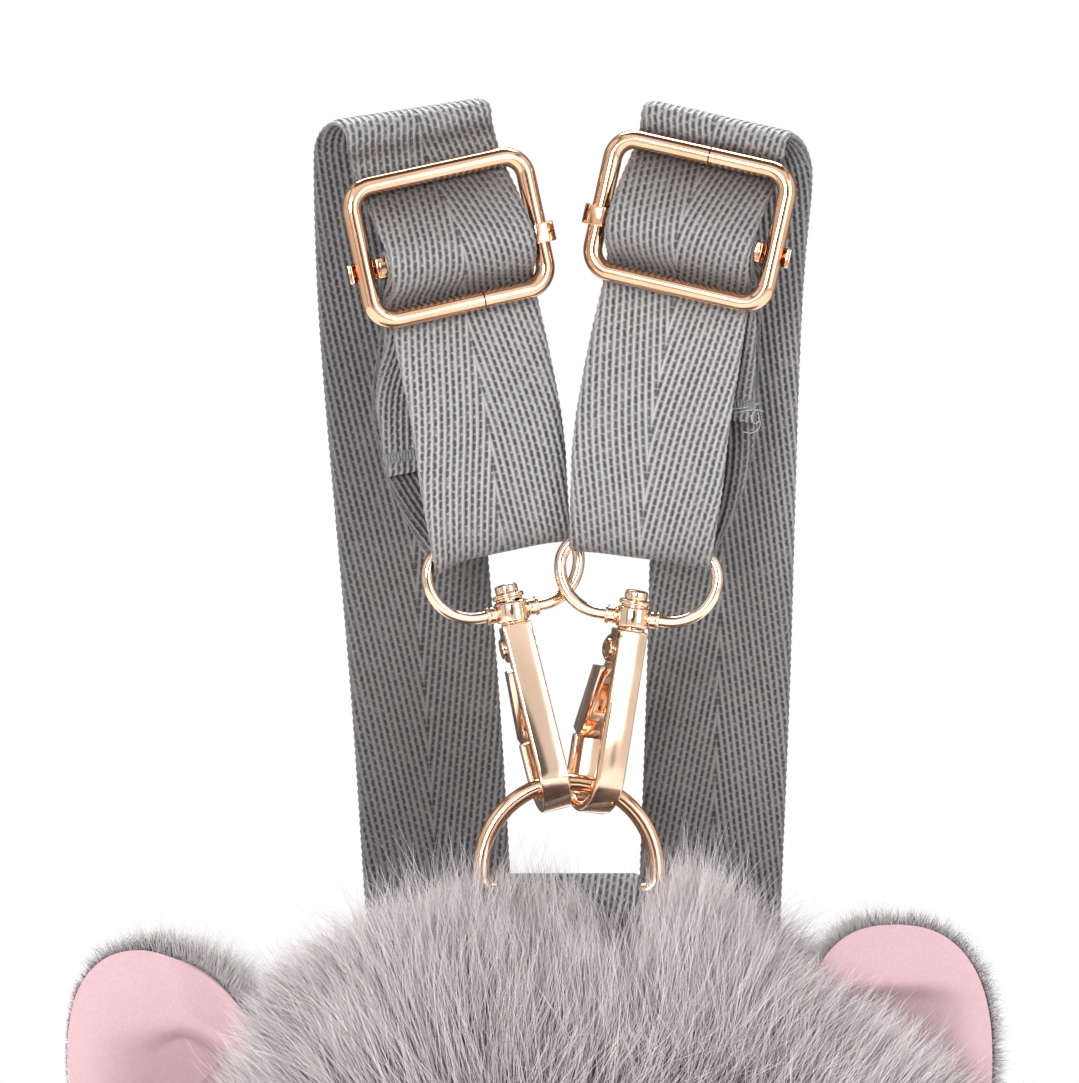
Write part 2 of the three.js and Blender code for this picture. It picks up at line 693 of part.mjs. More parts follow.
function lockRoots() {
  return LOCK_ROWS.flatMap(({ y, turn, every }) => {
    const level = turn === undefined ? levelBehind(y) : levelBefore(turn, -HEAD.backing / 2);
    const count = Math.floor(HEAD_POINTS / every);
    return Array.from({ length: count }, (_, k) => headPoint(level, pointAngle(k * every), -HEAD.backing / 2));
  });
}

function headNormal(point) {
  const power = HEAD.squareness - 1;
  const depth = HEAD.seamY - HEAD.frontY;
  const forward = Math.min((point.y - HEAD.seamY) / depth, 0);
  return vec(
    signedPower(point.x / HEAD.halfWidth, power) / HEAD.halfWidth,
    signedPower(forward, power) / depth,
    signedPower((point.z - HEAD.centreZ) / HEAD.halfHeight, power) / HEAD.halfHeight,
  ).normalize();
}

function furPile() {
  const backing = faceWall(0, -HEAD.backing, [HEAD.backY - 0.5, ...SIDE_LEVELS]);
  const locks = lockRoots().filter((root) => !isBare(root)).map((root, i) => {
    const normal = headNormal(root);
    const onFace = root.y < HEAD.seamY - 1;
    const pull = onFace ? vec(root.x, 0, root.z - HEAD.centreZ) : vec(0.4 * root.x, 30, 0);
    const sweep = pull.addScaledVector(normal, -pull.dot(normal)).normalize();
    return lock(root, normal, sweep, LOCK.length * (i % 2 ? 1 : LOCK.shorter));
  });
  return join(backing, ...locks);
}

// Assembly.

const backpack = new THREE.Group();
backpack.name = "plush_backpack";

function addPiece(name, geometry, colour, { metal = false, matrix = null } = {}) {
  const material = new THREE.MeshStandardMaterial({
    color: colour,
    metalness: metal ? 1 : 0,
    roughness: metal ? 0.25 : 0.85,
  });
  const piece = new THREE.Mesh(geometry, material);
  piece.name = name;
  if (matrix) piece.applyMatrix4(matrix);
  backpack.add(piece);
}

addPiece("front_panel", frontPanel(), COLOURS.cloth);
addPiece("side_panel", sidePanel(), COLOURS.cloth);
addPiece("back_panel", backPanel(), COLOURS.cloth);
addPiece("fur_pile", furPile(), COLOURS.fur);
addPiece("zip", zip(), COLOURS.tape);
addPiece("top_tab", topTab(), COLOURS.webbing);
addPiece("top_ring", topRing(), COLOURS.gold, { metal: true });

for (const [side, layout] of Object.entries(STRAPS)) {
  const atSlider = { metal: true, matrix: placeOf(layout.slider) };
  const atLoop = { metal: true, matrix: placeOf(layout.loop) };
  const atHook = { metal: true, matrix: hookPlaceOf(layout) };
  addPiece(`strap_${side}`, strap(layout), COLOURS.webbing);
  addPiece(`slider_frame_${side}`, sliderFrame(), COLOURS.gold, atSlider);
  addPiece(`slider_bar_${side}`, slideBar(), COLOURS.gold, atSlider);
  addPiece(`hook_loop_${side}`, hookLoop(), COLOURS.gold, atLoop);
  addPiece(`hook_body_${side}`, hookBody(), COLOURS.gold, atHook);
  addPiece(`hook_lever_${side}`, hookLever(), COLOURS.gold, atHook);
}

for (const [side, ear] of Object.entries(EARS)) {
  addPiece(`ear_${side}_back`, earBack(ear), COLOURS.earFur);
  addPiece(`ear_${side}_lining`, earLining(ear), COLOURS.lining);
}

export default backpack;
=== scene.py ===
# %% [markdown]
# # Dressing a plush backpack
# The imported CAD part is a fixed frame: a hollow plush head hung by two webbing straps, with sliders,
# swivel hooks and a ring. This lesson keeps every piece where the frame has it, and gives it the look
# of the real thing: polished wire, twill webbing, long fur, velour ears. We load the frame first and
# keep its box, because nothing that we add may grow the object.

import math

import bmesh
import bpy
import numpy as np
from mathutils import Matrix, Vector


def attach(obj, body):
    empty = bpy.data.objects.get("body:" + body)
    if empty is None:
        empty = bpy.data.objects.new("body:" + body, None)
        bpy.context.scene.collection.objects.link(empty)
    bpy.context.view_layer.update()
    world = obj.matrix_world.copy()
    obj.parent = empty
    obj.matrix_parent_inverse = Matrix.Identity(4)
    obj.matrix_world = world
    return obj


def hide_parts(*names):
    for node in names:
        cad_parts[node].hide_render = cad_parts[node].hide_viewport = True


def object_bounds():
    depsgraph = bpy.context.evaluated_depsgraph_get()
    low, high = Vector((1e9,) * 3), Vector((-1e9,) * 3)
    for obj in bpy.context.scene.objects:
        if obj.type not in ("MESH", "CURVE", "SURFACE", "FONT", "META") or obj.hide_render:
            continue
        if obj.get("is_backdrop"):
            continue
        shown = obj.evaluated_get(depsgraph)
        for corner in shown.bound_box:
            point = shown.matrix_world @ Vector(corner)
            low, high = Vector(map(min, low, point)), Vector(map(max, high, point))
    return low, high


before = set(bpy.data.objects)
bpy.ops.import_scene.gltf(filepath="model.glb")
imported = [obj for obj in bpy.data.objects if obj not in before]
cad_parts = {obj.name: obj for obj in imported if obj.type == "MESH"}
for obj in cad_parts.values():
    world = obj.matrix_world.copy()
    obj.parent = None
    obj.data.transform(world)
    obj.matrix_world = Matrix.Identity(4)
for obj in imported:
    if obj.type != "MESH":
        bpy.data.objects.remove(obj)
CAD_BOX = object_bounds()
MM = 0.001
print("nodes in the frame:", len(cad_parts))
print("box of the solids:", [round(side, 4) for side in CAD_BOX[1] - CAD_BOX[0]])

# %% [markdown]
# ## Small helpers
# An operator works on whatever is selected, so each step starts by selecting one object and nothing
# else. The frame sizes are in millimetres and Blender's unit is the metre, hence the factor above.

# %% Helpers for selecting
def only(piece):
    bpy.ops.object.select_all(action="DESELECT")
    piece.select_set(True)
    bpy.context.view_layer.objects.active = piece
    return piece


def added(name):
    piece = bpy.context.active_object
    piece.name = name
    piece.data.name = name
    return piece


def pick(piece, test, kind="VERT"):
    """Selects the corners, edges or faces of the mesh in edit mode that pass a test."""
    bpy.ops.mesh.select_mode(type=kind)
    bpy.ops.mesh.select_all(action="DESELECT")
    cage = bmesh.from_edit_mesh(piece.data)
    items = {"VERT": cage.verts, "EDGE": cage.edges, "FACE": cage.faces}[kind]
    for item in items:
        corners = [item.co] if kind == "VERT" else [corner.co for corner in item.verts]
        middle = sum(corners, Vector()) / len(corners)
        item.select_set(bool(test(middle, item)))
    cage.select_flush_mode()
    bmesh.update_edit_mesh(piece.data)


def editing(piece):
    only(piece)
    bpy.ops.object.mode_set(mode="EDIT")


def done():
    bpy.ops.object.mode_set(mode="OBJECT")


def settled(piece, place=None):
    only(piece)
    if place is not None:
        piece.matrix_world = place @ piece.matrix_world
    bpy.ops.object.transform_apply(location=True, rotation=True, scale=True)
    return piece


def with_modifier(piece, kind, **values):
    only(piece)
    modifier = piece.modifiers.new(kind.lower(), kind)
    for name, value in values.items():
        setattr(modifier, name, value)
    bpy.ops.object.modifier_apply(modifier=modifier.name)
    return piece


def bevelled(piece, width, segments=3, **more):
    return with_modifier(piece, "BEVEL", width=width * MM, segments=segments, limit_method="ANGLE", **more)


def thickened(piece, thickness, offset=0):
    return with_modifier(piece, "SOLIDIFY", thickness=thickness * MM, offset=offset)


def joined(name, pieces):
    bpy.ops.object.select_all(action="DESELECT")
    for piece in pieces:
        piece.select_set(True)
    bpy.context.view_layer.objects.active = pieces[0]
    bpy.ops.object.join()
    return added(name)


def smooth(piece, angle):
    only(piece)
    bpy.ops.object.shade_smooth_by_angle(angle=math.radians(angle))
    return piece


def triangles(piece):
    return sum(len(face.vertices) - 2 for face in piece.data.polygons)


def linked(name, data):
    piece = bpy.data.objects.new(name, data)
    bpy.context.scene.collection.objects.link(piece)
    return piece


def faced_out(piece, merge=0):
    """Turns all faces outwards, after merging the points that lie together."""
    editing(piece)
    bpy.ops.mesh.select_all(action="SELECT")
    if merge:
        bpy.ops.mesh.remove_doubles(threshold=merge)
        bpy.ops.mesh.delete_loose()
        bpy.ops.mesh.select_all(action="SELECT")
    bpy.ops.mesh.normals_make_consistent(inside=False)
    done()
    return piece


def dressed(piece, material, slot, *nodes, body="backpack"):
    """Gives a finished piece its material and its body, and hides the CAD nodes that it stands for. The slot
    is not used.
    """
    piece.data.materials.clear()
    piece.data.materials.append(material)
    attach(piece, body)
    if nodes:
        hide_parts(*nodes)
    print(piece.name, triangles(piece), "triangles")
    return piece


print("helpers are ready")

# %% [markdown]
# A material is a net of nodes. A second set of helpers makes nodes and feeds their sockets, each with a
# number, a colour or the output of another node.

# %% Node helpers
WHITE = (1.0, 1.0, 1.0)


def fed(tree, socket, value):
    if isinstance(value, bpy.types.NodeSocket):
        tree.links.new(value, socket)
    else:
        socket.default_value = value


def node(tree, kind, *values, **settings):
    """A new node. The settings are its own properties, and the values go to its first sockets."""
    made = tree.nodes.new(kind)
    for name, value in settings.items():
        setattr(made, name, value)
    for socket, value in zip(made.inputs, values):
        fed(tree, socket, value)
    return made


def computed(tree, operation, *values, clamp=False):
    return node(tree, "ShaderNodeMath", *values, operation=operation, use_clamp=clamp).outputs[0]


def ranged(tree, value, before, after):
    """A value brought from one range to another."""
    return node(tree, "ShaderNodeMapRange", value, *before, *after).outputs[0]


def attribute(tree, name):
    """A number that the mesh keeps for each of its points."""
    return node(tree, "ShaderNodeAttribute", attribute_name=name).outputs["Fac"]


def ramp(tree, factor, stops):
    made = node(tree, "ShaderNodeValToRGB", factor)
    band = made.color_ramp
    while len(band.elements) < len(stops):
        band.elements.new(0.5)
    for element, (place, colour) in zip(band.elements, stops):
        element.position = place
        element.color = (*colour, 1)
    return made.outputs[0]


def two_tone(tree, factor, dark, pale):
    """From dark to pale over the middle values of a noise."""
    return ramp(tree, factor, [(0.3, dark), (0.7, pale)])


def tinted(tree, factor, colour):
    return ramp(tree, factor, [(0.0, WHITE), (1.0, colour)])


def mixed(tree, factor, first, second, blend="MIX"):
    made = node(tree, "ShaderNodeMix", factor, data_type="RGBA", blend_type=blend)
    fed(tree, made.inputs[6], first)
    fed(tree, made.inputs[7], second)
    return made.outputs[2]


def times(tree, first, *others):
    """Colours multiplied with each other."""
    for other in others:
        first = mixed(tree, 1.0, first, other, "MULTIPLY")
    return first


def noise(tree, scale, detail, stretch=(1, 1, 1)):
    where = node(tree, "ShaderNodeTexCoord").outputs["Object"]
    mapping = node(tree, "ShaderNodeMapping", where)
    mapping.inputs["Scale"].default_value = stretch
    made = node(tree, "ShaderNodeTexNoise", mapping.outputs[0])
    made.inputs["Scale"].default_value = scale
    made.inputs["Detail"].default_value = detail
    return made.outputs["Fac"]


def bump(tree, height, strength, distance):
    made = node(tree, "ShaderNodeBump")
    for name, value in {"Strength": strength, "Distance": distance, "Height": height}.items():
        fed(tree, made.inputs[name], value)
    return made.outputs[0]


def fresh(name):
    material = bpy.data.materials.new(name)
    material.use_nodes = True
    return material, material.node_tree


def surface(material, look):
    """Feeds the sockets of a material's shader by their names."""
    tree = material.node_tree
    for name, value in look.items():
        fed(tree, tree.nodes["Principled BSDF"].inputs[name], value)
    return material


print("node helpers are ready")

# %% [markdown]
# ## Stage, light and camera
# The photograph is a catalogue cut-out: straight on, from far away, with an even white ground and
# large soft lamps. A long lens from 1.4 m keeps the straps almost parallel. The sensor's width belongs
# to the longer side of the picture, here its height of 1083 pixels. One strap is 25 mm and 145 pixels
# wide, so the whole picture is about 187 mm high where the straps are.

# %% Camera
PIXELS_TO_MM = 25 / 145
PICTURE_HEIGHT = 1083 * PIXELS_TO_MM
CAMERA_DISTANCE = 1400
SENSOR = 36
VIEW_CENTRE = Vector((-5.1, 0, -73.9))
bpy.ops.object.camera_add(
    location=(VIEW_CENTRE + Vector((0, -CAMERA_DISTANCE, 0))) * MM,
    rotation=(math.radians(90), 0, 0),
)
camera = bpy.context.active_object
camera.name = "camera"
camera.data.sensor_width = SENSOR
camera.data.lens = SENSOR * CAMERA_DISTANCE / PICTURE_HEIGHT
camera.data.clip_end = 20
bpy.context.scene.camera = camera
print("lens:", round(camera.data.lens, 1), "mm")

# %% [markdown]
# The floor is a plain pale sheet under the bag, below what the picture shows. It is a plane with rounded
# corners, and it is marked as stage, so it is no part of the object.

# %% Floor and lamps
FLOOR = {"size": 1.3, "z": -0.345, "corner": 0.45}
bpy.ops.mesh.primitive_plane_add(size=FLOOR["size"], location=(0, 0, FLOOR["z"]))
floor = added("studio_sheet")
editing(floor)
bpy.ops.mesh.select_all(action="SELECT")
bpy.ops.mesh.bevel(offset=FLOOR["corner"], segments=10, affect="VERTICES")
done()
settled(floor)
paper = surface(fresh("studio_paper")[0], {"Base Color": (0.9, 0.9, 0.9, 1), "Roughness": 0.9})
floor.data.materials.append(paper)
floor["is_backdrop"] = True

LAMPS = [
    # name, place, aim, width, height, watts
    ("key", (-0.4, -1.25, 0.15), (0, 0, -0.1), 0.5, 0.5, 19),
    ("fill", (0.75, -0.85, 0.05), (0, 0, -0.1), 0.5, 0.9, 6),
    ("rim", (0.0, 0.4, 0.8), (0, 0.02, -0.1), 0.9, 0.5, 17),
]
for name, place, aim, width, height, watts in LAMPS:
    bpy.ops.object.light_add(type="AREA", location=place)
    lamp = bpy.context.active_object
    lamp.name = "lamp_" + name
    lamp.data.shape = "RECTANGLE"
    lamp.data.size = width
    lamp.data.size_y = height
    lamp.data.energy = watts
    lamp.rotation_euler = (Vector(aim) - Vector(place)).to_track_quat("-Z", "Y").to_euler()
print("lamps:", [row[0] for row in LAMPS])

# %% [markdown]
# The world has three faces. The camera sees plain white, like the cut-out ground of the picture. Cloth
# and fur get an even, fairly dim light. Polished metal shows what stands around it, and in an all white
# room it would look like plastic, so rays that leave a glossy surface meet a simple studio: a bright
# table below, a softbox above, a dark ceiling, two dark stands, a dark camera and darkness behind the bag.

# %% World
# stops of the studio from below to above, from left to right, and from before the bag to behind it:
# a place from 0 to 1, and how bright it is there
HEIGHTS = [(0.0, 0.4), (0.22, 0.8), (0.45, 0.85), (0.49, 0.72)]
HEIGHTS += [(0.66, 0.8), (0.74, 1.0), (0.88, 1.0), (0.92, 0.1)]
STANDS = [(0.0, 0.9), (0.13, 1.0), (0.16, 0.08), (0.2, 1.0), (0.8, 1.0), (0.84, 0.08), (0.87, 1.0)]
DEPTHS = [(0.0, 0.1), (0.011, 0.12), (0.016, 1.0), (0.5, 1.0), (0.64, 0.85), (0.8, 0.3)]
world = bpy.data.worlds.new("white_ground")
bpy.context.scene.world = world
world.use_nodes = True
sky = world.node_tree
sky.nodes.clear()
view = node(sky, "ShaderNodeTexCoord").outputs["Generated"]
direction = node(sky, "ShaderNodeSeparateXYZ", view).outputs
ray = node(sky, "ShaderNodeLightPath").outputs


def studio_band(axis, stops):
    place = ranged(sky, direction[axis], (-1, 1), (0, 1))
    return ramp(sky, place, [(at, (grey, grey, grey)) for at, grey in stops])


def light(colour, strength):
    return node(sky, "ShaderNodeBackground", colour, strength).outputs[0]


def choice(factor, first, second):
    return node(sky, "ShaderNodeMixShader", factor, first, second).outputs[0]


studio = times(sky, studio_band(2, HEIGHTS), studio_band(0, STANDS), studio_band(1, DEPTHS))
unseen = choice(ray["Is Glossy Ray"], light((0.95, 0.97, 1, 1), 0.4), light(studio, 1.08))
seen = choice(ray["Is Camera Ray"], unseen, light((1, 1, 1, 1), 1.0))
node(sky, "ShaderNodeOutputWorld", seen)
bpy.context.scene.view_settings.view_transform = "Standard"
print("world is set")

# %% [markdown]
# ## Rose-gold plating
# Plating is a thin, very smooth coat of metal. Its colour is in the reflection, so the base colour is
# the colour of the gold and metallic is 1. Two noises keep it from looking like a computer picture: a
# wide one for the faint haze that fingers leave, and a fine one for hairline scratches. The sliders and
# the ring get a second plating, a little warmer and darker than the hooks'.

# %% Rose gold
def plating(name, deep, pale):
    material, tree = fresh(name)
    haze = noise(tree, 90, 3)
    scratch = noise(tree, 1500, 2, (1, 1, 0.15))
    look = {
        "Base Color": two_tone(tree, haze, deep, pale),
        "Metallic": 1,
        "Roughness": ranged(tree, haze, (0, 1), (0.06, 0.15)),
        "Normal": bump(tree, scratch, 0.05, 0.00005),
    }
    return surface(material, look)


ROSE_GOLD = plating("rose_gold_plating", (0.84, 0.58, 0.41), (0.9, 0.66, 0.49))
WARM_GOLD = plating("warm_gold_plating", (0.78, 0.44, 0.26), (0.86, 0.53, 0.34))
print("made", ROSE_GOLD.name, WARM_GOLD.name)

# %% [markdown]
# ## Where the fittings sit
# Every fitting has a place: a point, a lean in the front view and a yaw that turns its face. These are
# the same values as in the part's source, in millimetres, so each new piece lands on its CAD node.

# %% Places
WIRE_GAP = 0.3
# slider, loop and the rows of rear are places: x, y, z, lean, yaw. A hook has lean, pitch and spin.
# fold_start and tail_end are measured down from the slider's middle and the loop's top, so up is negative
STRAPS = {
    "left": {
        "slider": (-20.7, -4.6, -21.7, 12.6, 16),
        "loop": (-12.4, 5.2, -73.2, 11.5, 16),
        "hook": (14, -4, 10),
        "fold_start": -18.3,
        "tail_end": -14,
        "outside": -1,
        "slide": 0.9,
        "rear_width": 26.1,
        "pale_rear": 0.0,
        "rear": [
            (-31.2, 5.0, -6.6, 4, 9),
            (-30.6, 12.9, -32, 4, 4),
            (-25.3, 33.9, -101, 4, 0),
            (-23.2, 44.5, -136, 3, 0),
            (-22.4, 48.4, -149, 1, 0),
            (-22.3, 48.9, -156, 0, 0),
            (-24.0, 48.9, -296, 0, 0),
        ],
    },
    "right": {
        "slider": (20.7, -4.6, -18.8, -13, -16),
        "loop": (12.7, 1.5, -74.1, -7.5, -9),
        "hook": (-9, 4, 24),
        "fold_start": -14.6,
        "tail_end": -23,
        "outside": 1,
        "slide": -0.4,
        "rear_width": 25.3,
        "pale_rear": 0.62,
        "rear": [
            (29.6, 5.0, -9, -13, -9),
            (28.0, 12.9, -32, -4, -4),
            (26.4, 33.9, -101, -1.6, 0),
            (25.3, 44.5, -136, -1, 0),
            (25.0, 48.4, -149, 0, 0),
            (25.0, 48.9, -156, 0, 0),
            (26.0, 48.9, -296, 0, 0),
        ],
    },
}


def rising(value, start, width):
    """0 up to the start, and 1 from a width further on."""
    return np.clip((value - start) / width, 0, 1)


def falling(value, end, width):
    """1 until a width before the end, and 0 from the end on."""
    return np.clip((end - value) / width, 0, 1)


def eased(share):
    """A share from 0 to 1 with soft ends."""
    return share * share * (3 - 2 * share)


def unit(vectors):
    return vectors / np.maximum(np.linalg.norm(vectors, axis=1), 1e-9)[:, None]


def turned(axis, degrees):
    return Matrix.Rotation(math.radians(degrees), 4, axis)


def place_of(x, y, z, lean, yaw):
    return Matrix.Translation(Vector((x, y, z)) * MM) @ turned("Z", yaw) @ turned("Y", -lean)


LOOP_DROP = 13


def hook_place(strap):
    barrel = place_of(*strap["loop"]) @ Vector((0, 0, -LOOP_DROP * MM))
    lean, pitch, spin = strap["hook"]
    return Matrix.Translation(barrel) @ turned("Y", -lean) @ turned("X", pitch) @ turned("Z", spin)


print("left hook barrel at", [round(c * 1000, 1) for c in hook_place(STRAPS["left"]).translation])

# %% [markdown]
# ## Bent wire
# Slider frames, hook loops and the ring are all one thing: a round wire bent into a flat closed shape.
# By hand we add a plane, round its corners with a vertex bevel, throw the face away so that only the
# outline is left, turn that outline into a curve and give the curve a round thickness. A real frame has
# a butt joint where the wire's ends meet: two bisects and one deleted edge leave that hairline open.

# %% Bent wire
TINY = 1e-6
JOINT_HALF = 0.12


def bent_wire(name, half_width, top, bottom, top_corner, lower_corner, wire, joint=None):
    """A flat closed shape of round wire. A joint is a place along it, and whether that is on top."""
    middle_z = (top + bottom) / 2 * MM
    bpy.ops.mesh.primitive_plane_add(size=2, rotation=(math.radians(90), 0, 0))
    piece = added(name)
    piece.scale = (half_width * MM, (top - bottom) / 2 * MM, 1)
    piece.location.z = middle_z
    settled(piece)
    editing(piece)
    pick(piece, lambda middle, corner: middle.z > middle_z)
    bpy.ops.mesh.bevel(offset=top_corner * MM, segments=14, affect="VERTICES")
    pick(piece, lambda middle, corner: middle.z < bottom * MM + TINY and not corner.is_wire)
    bpy.ops.mesh.bevel(offset=lower_corner * MM, segments=14, affect="VERTICES")
    bpy.ops.mesh.select_all(action="SELECT")
    bpy.ops.mesh.remove_doubles(threshold=TINY)
    bpy.ops.mesh.delete(type="ONLY_FACE")
    if joint is not None:
        along, on_top = joint
        gap = Vector((along * MM, 0, (top if on_top else bottom) * MM))
        for side in (-JOINT_HALF, JOINT_HALF):
            bpy.ops.mesh.select_all(action="SELECT")
            bpy.ops.mesh.bisect(plane_co=((along + side) * MM, 0, 0), plane_no=(1, 0, 0))
        pick(piece, lambda middle, edge: (middle - gap).length < 10 * TINY, "EDGE")
        bpy.ops.mesh.delete(type="EDGE")
    done()
    only(piece)
    bpy.ops.object.convert(target="CURVE")
    piece = bpy.context.active_object
    piece.data.bevel_depth = wire / 2 * MM
    piece.data.bevel_resolution = 5
    piece.data.use_fill_caps = True
    bpy.ops.object.convert(target="MESH")
    return smooth(faced_out(added(name), TINY / 10), 50)


SLIDER = {
    "half_width": 15.85,
    "top": 11.65,
    "bottom": -11.65,
    "top_corner": 3.9,
    "lower_corner": 3.9,
    "wire": 3.3,
}
JOINTS = {"left": (3.6, False), "right": (1.2, True)}
for side, strap in STRAPS.items():
    frame_wire = bent_wire(f"slider_wire_{side}", **SLIDER, joint=JOINTS[side])
    settled(frame_wire, place_of(*strap["slider"]))
    dressed(frame_wire, WARM_GOLD, "rose_gold", f"slider_frame_{side}")

# %% The ring on top of the head
RING = {
    "half_width": 15.2,
    "top": -115.6,
    "bottom": -134.6,
    "top_corner": 15.19,
    "lower_corner": 2.4,
    "wire": 3,
}
RING_Y = 8.2
ring = settled(bent_wire("ring_wire", **RING), Matrix.Translation((0, RING_Y * MM, 0)))
dressed(ring, WARM_GOLD, "rose_gold", "top_ring")

# %% [markdown]
# ## Slide bars
# The bar that grips the strap is a flat strip. Each end is bent round a side wire of the frame, one end
# before the wire and the other behind it, so the bar can slide but not fall out. We extrude an upright
# edge along that bent line, thicken the sheet with Solidify and round its edges with Bevel.

# %% Slide bars
BAR = {"drop": 2.6, "clip_height": 3.4, "strip_height": 2.0, "strip_depth": 1.0, "sheet": 0.8}
STRIP_SHORT = 5.4
BAR_ENDS = {"left": (1, -1), "right": (-1, 1)}


def block(name, size, centre, rim=0.3):
    bpy.ops.mesh.primitive_cube_add(size=1)
    piece = added(name)
    piece.scale = Vector(size) * MM
    piece.location = Vector(centre) * MM
    settled(piece)
    if rim:
        bevelled(piece, rim)
    return piece


def bent_clip(name, side_sign, depth_sign):
    wire_x = SLIDER["half_width"]
    clear = SLIDER["wire"] / 2 + WIRE_GAP + BAR["sheet"] / 2
    line = [
        (wire_x - clear - 2.2, 0.0),
        (wire_x - clear - 0.1, 0.15),
        (wire_x - clear + 0.4, clear * 0.75),
        (wire_x - 0.9, clear),
        (wire_x + 0.9, clear),
        (wire_x + clear - 0.2, clear * 0.6),
        (wire_x + clear + 0.35, -0.6),
    ]
    bpy.ops.mesh.primitive_plane_add(size=1)
    piece = added(name)
    editing(piece)
    pick(piece, lambda middle, corner: middle.x > 0)
    bpy.ops.mesh.delete(type="VERT")
    cage = bmesh.from_edit_mesh(piece.data)
    half = BAR["clip_height"] / 2
    for corner, height in zip(cage.verts, (-half, half)):
        corner.co = Vector((side_sign * line[0][0], depth_sign * line[0][1], height)) * MM
    bmesh.update_edit_mesh(piece.data)
    bpy.ops.mesh.select_all(action="SELECT")
    for before, after in zip(line, line[1:]):
        step = Vector((side_sign * (after[0] - before[0]), depth_sign * (after[1] - before[1]), 0)) * MM
        bpy.ops.mesh.extrude_region_move(TRANSFORM_OT_translate={"value": step})
    done()
    return thickened(piece, BAR["sheet"])


for side, strap in STRAPS.items():
    size = (2 * SLIDER["half_width"] - STRIP_SHORT, BAR["strip_depth"], BAR["strip_height"])
    strip = block("strip", size, (0, 0, 0), 0)
    left_depth, right_depth = BAR_ENDS[side]
    ends = [bent_clip("end_a", -1, left_depth), bent_clip("end_b", 1, right_depth)]
    bar = faced_out(joined(f"slide_bar_{side}", [strip, *ends]))
    bevelled(bar, 0.22, 2)
    settled(bar, place_of(*strap["slider"]) @ Matrix.Translation((0, 0, -BAR["drop"] * MM)))
    dressed(smooth(bar, 40), WARM_GOLD, "rose_gold", f"slider_bar_{side}")

# %% [markdown]
# ## Swivel hooks
# A swivel hook has three pieces. The loop carries the strap and ends in a barrel. The hook turns in
# that barrel on a riveted post. The sprung lever closes the hook's mouth.
# The loop is bent wire again, and the barrel and its two collars are cylinders with bevelled rims.

# %% Cylinders
def turned_part(name, radius, height, centre, lying=False, rim=0, sides=40):
    bpy.ops.mesh.primitive_cylinder_add(
        vertices=sides,
        radius=radius * MM,
        depth=height * MM,
        location=Vector(centre) * MM,
        rotation=(0, math.radians(90) if lying else 0, 0),
    )
    piece = settled(added(name))
    if rim:
        bevelled(piece, rim)
    return piece


LOOP = {
    "half_width": 13.8,
    "top": 0,
    "bottom": -LOOP_DROP,
    "top_corner": 5,
    "lower_corner": 8,
    "wire": 2.1,
}
COLLARS = [
    # name, radius, width, distance from the middle, rim
    ("collar", 1.45, 1.6, 3.7, 0.3),
    ("ridge", 1.65, 0.5, 4.5, 0.2),
]
for side, strap in STRAPS.items():
    parts = [bent_wire(f"loop_{side}", **LOOP)]
    parts.append(turned_part("barrel", 2.9, 3.6, (0, 0, -LOOP_DROP), rim=0.5))
    for name, radius, width, away, rim in COLLARS:
        for x in (-away, away):
            parts.append(turned_part(name, radius, width, (x, 0, -LOOP_DROP), lying=True, rim=rim))
    loop = settled(joined(f"swivel_loop_{side}", parts), place_of(*strap["loop"]))
    dressed(smooth(loop, 40), ROSE_GOLD, "rose_gold", f"hook_loop_{side}")

# %% [markdown]
# The hook itself is a bar that runs down as a spine, turns round a half circle and ends in a short nose.
# That is one block: its lower face is spun round the eye's axis by half a turn and then extruded up.
# Two cheeks at the top hold the lever's pin between them.

# %% Hooks
HOOK = {"band": 5.2, "strip": 1.9, "top": -2.3, "eye_radius": 5.0, "eye_drop": 28.2, "nose": -22.2}
PIVOT = (2.3, -6.0)
CHEEK_X = 1.95
PIN_END = 1.38


def hook_bar(name):
    height = HOOK["eye_drop"] + HOOK["top"]
    centre = (0, -HOOK["strip"] / 2, HOOK["top"] - height / 2)
    piece = block(name, (HOOK["band"], HOOK["strip"], height), centre, 0)
    editing(piece)
    pick(piece, lambda middle, face: face.normal.z < -0.9, "FACE")
    bpy.ops.mesh.spin(
        steps=18,
        angle=math.radians(-180),
        center=(0, HOOK["eye_radius"] * MM, -HOOK["eye_drop"] * MM),
        axis=(1, 0, 0),
    )
    rise = (HOOK["nose"] + HOOK["eye_drop"]) * MM
    bpy.ops.mesh.extrude_region_move(TRANSFORM_OT_translate={"value": (0, 0, rise)})
    done()
    faced_out(piece, TINY)
    return bevelled(piece, 0.5, angle_limit=0.7)


def eyelet(name, radius, height, centre):
    """The end of a hollow pin: a short cylinder with a recess in each face."""
    piece = turned_part(name, radius, height, centre, lying=True, sides=28)
    editing(piece)
    pick(piece, lambda middle, face: abs(face.normal.x) > 0.9, "FACE")
    bpy.ops.mesh.inset(thickness=0.75 * MM, use_individual=True)
    bpy.ops.transform.resize(value=(0.35, 1, 1), center_override=Vector(centre) * MM)
    done()
    return bevelled(piece, 0.2, 2)


